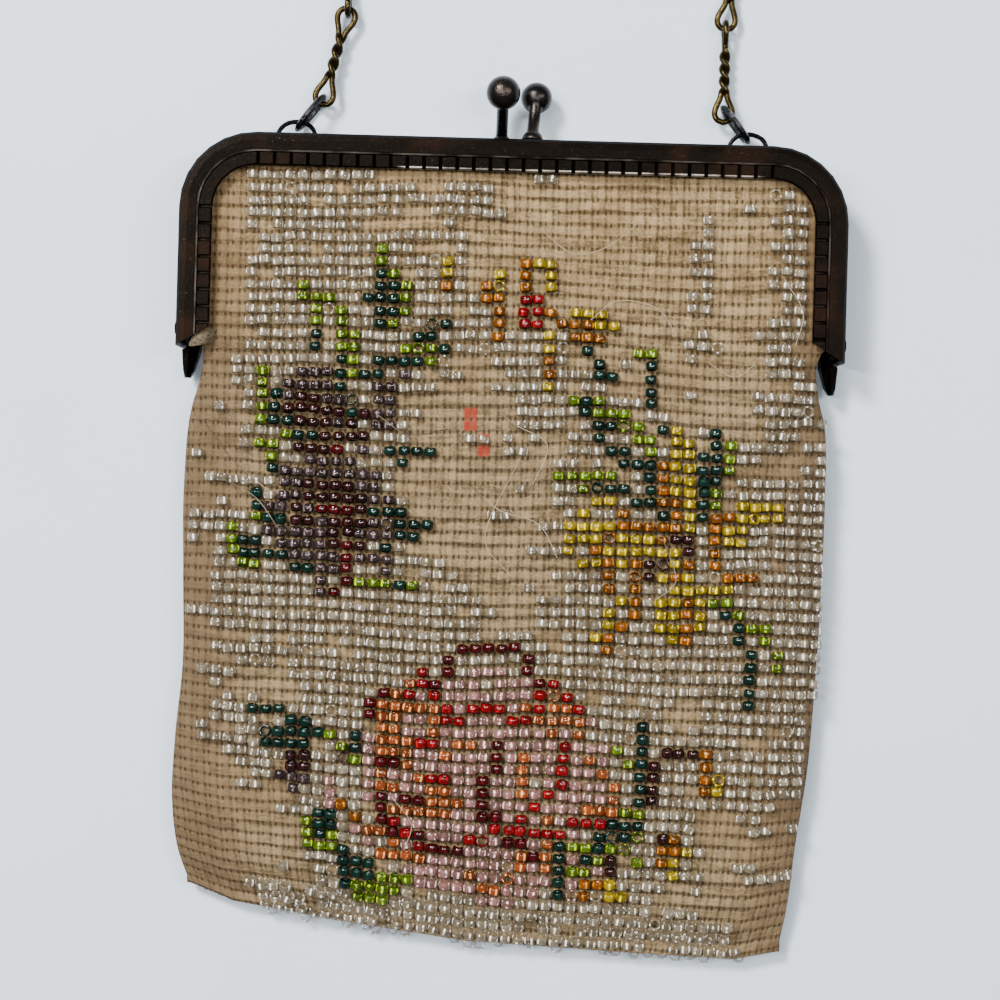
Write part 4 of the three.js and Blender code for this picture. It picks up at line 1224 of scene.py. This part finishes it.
# %% Threads
THREAD = 0.11
THREAD_LIFT = 1.62
THREAD_STEPS = 24
THREAD_WAVE = 0.12
THREADS = [
    # the points that each thread passes, as X and Y
    [(-4, -39), (1, -43), (6, -46), (4, -52)], [(4, -13.5), (9, -17), (14, -16), (19, -12)],
    [(12, -27), (16, -24), (22, -25), (25, -29)], [(-46, -44), (-42, -49), (-36, -54)],
    [(-44, -52), (-38, -55), (-34, -60)], [(-6, -52), (-1, -56), (5, -58), (8, -63)],
    [(41, -20), (44, -25), (43, -30)], [(24, -60), (26, -66), (23, -69)], [(-20, -42), (-15, -45), (-9, -44)],
    [(2, -48), (-3, -60), (1, -66)], [(30, -33), (34, -35), (37, -33)],
    [(-16, -100), (-13, -104), (-14, -108)],
]


def on_front(x, y, lift):
    """The point above the canvas's front at x and y."""
    line = cloth_row(-y, 1)
    return Vector((x, y, np.interp(x, line[:, 0], line[:, 2]) + lift))


def lazy_line(stops):
    """A smooth line over the beads through a few stops."""
    ways = np.linspace(0, 1, len(stops))
    xs, ys = (np.array([s[k] for s in stops], float) for k in (0, 1))
    points = []
    for k in range(THREAD_STEPS + 1):
        t = k / THREAD_STEPS
        x, y = eased(t, ways, xs), eased(t, ways, ys)
        points.append(on_front(float(x), float(y), THREAD_LIFT + THREAD_WAVE * math.sin(k * 1.3)))
    return points


thread = Finish("loose_thread")
fading = thread.step(thread.noise(thread.place(), 30), 0.42, 0.56)
thread_tone = thread.mix(fading, (0.012, 0.008, 0.004), (0.3, 0.23, 0.15))
thread_finish = thread.done(Base_Color=thread_tone, Roughness=0.7)
threads = wire("loose_threads", [lazy_line(t) for t in THREADS], THREAD, thread_finish, sides=6, closed=False)
print("threads:", len(THREADS))

# %% Cloth tab
TAB_PATH = ((-44.2, -30.7, 6.9), (-45.3, -31, 8.3), (-46.3, -31.3, 9), (-47.4, -31.5, 9.2), (-48.4, -31.7, 9))
TAB_HALF_WIDTH = (1.3, 1.35, 1.35, 1.35, 1.2)
TAB_THICK = 0.5
TAB_ACROSS = (0.4, 0.92)
points, faces = [], []
for (x, y, z), half in zip(TAB_PATH, TAB_HALF_WIDTH):
    for side, level in ((1, 0), (1, 1), (-1, 1), (-1, 0)):
        points.append((x + side * half * TAB_ACROSS[0], y + side * half * TAB_ACROSS[1], z + TAB_THICK * level))
for k in range(len(TAB_PATH) - 1):
    faces += [(4 * k + i, 4 * k + (i + 1) % 4, 4 * k + 4 + (i + 1) % 4, 4 * k + 4 + i) for i in range(4)]
faces += [(0, 3, 2, 1), tuple(len(points) - 4 + i for i in range(4))]
tab = smooth(new_mesh("cloth_tab", points, faces))
round_off = tab.modifiers.new("round_off", "SUBSURF")
round_off.levels = round_off.render_levels = 2
tab_cloth = Finish("tab_cloth")
tab_fibres = tab_cloth.noise(tab_cloth.place(), 0.35, 4)
tab_tone = tab_cloth.mix(tab_cloth.step(tab_fibres, 0.3, 0.7), (0.024, 0.016, 0.006), (0.12, 0.088, 0.045))
dress(tab, tab_cloth.done(Base_Color=tab_tone, Roughness=0.8, Normal=tab_cloth.bump(tab_fibres, 0.15)))
print("tab points:", len(points))

# %% [markdown]
# ## Put it together
#
# Each new piece rides on the one body of the purse, and the CAD nodes that it stands for are hidden. The last lines
# remove the two source beads and count the faces of the beads, chain and threads.

# %% Ride, replace and finish
for piece in (canvas_front, canvas_back, tab, *bead_pieces, threads):
    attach(piece, "root")
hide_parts("bag")
for knob, node in ((knob_back, "clasp_knob_back"), (knob_front, "clasp_knob_front")):
    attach(knob, "root")
    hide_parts(node)
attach(chain, "root")
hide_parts(*link_names)
for source in (round_bead, plain_bead):
    bpy.data.objects.remove(source)
total = sum(len(piece.data.polygons) for piece in (*bead_pieces, chain, threads))
print("faces in the beads, chain and threads:", total)
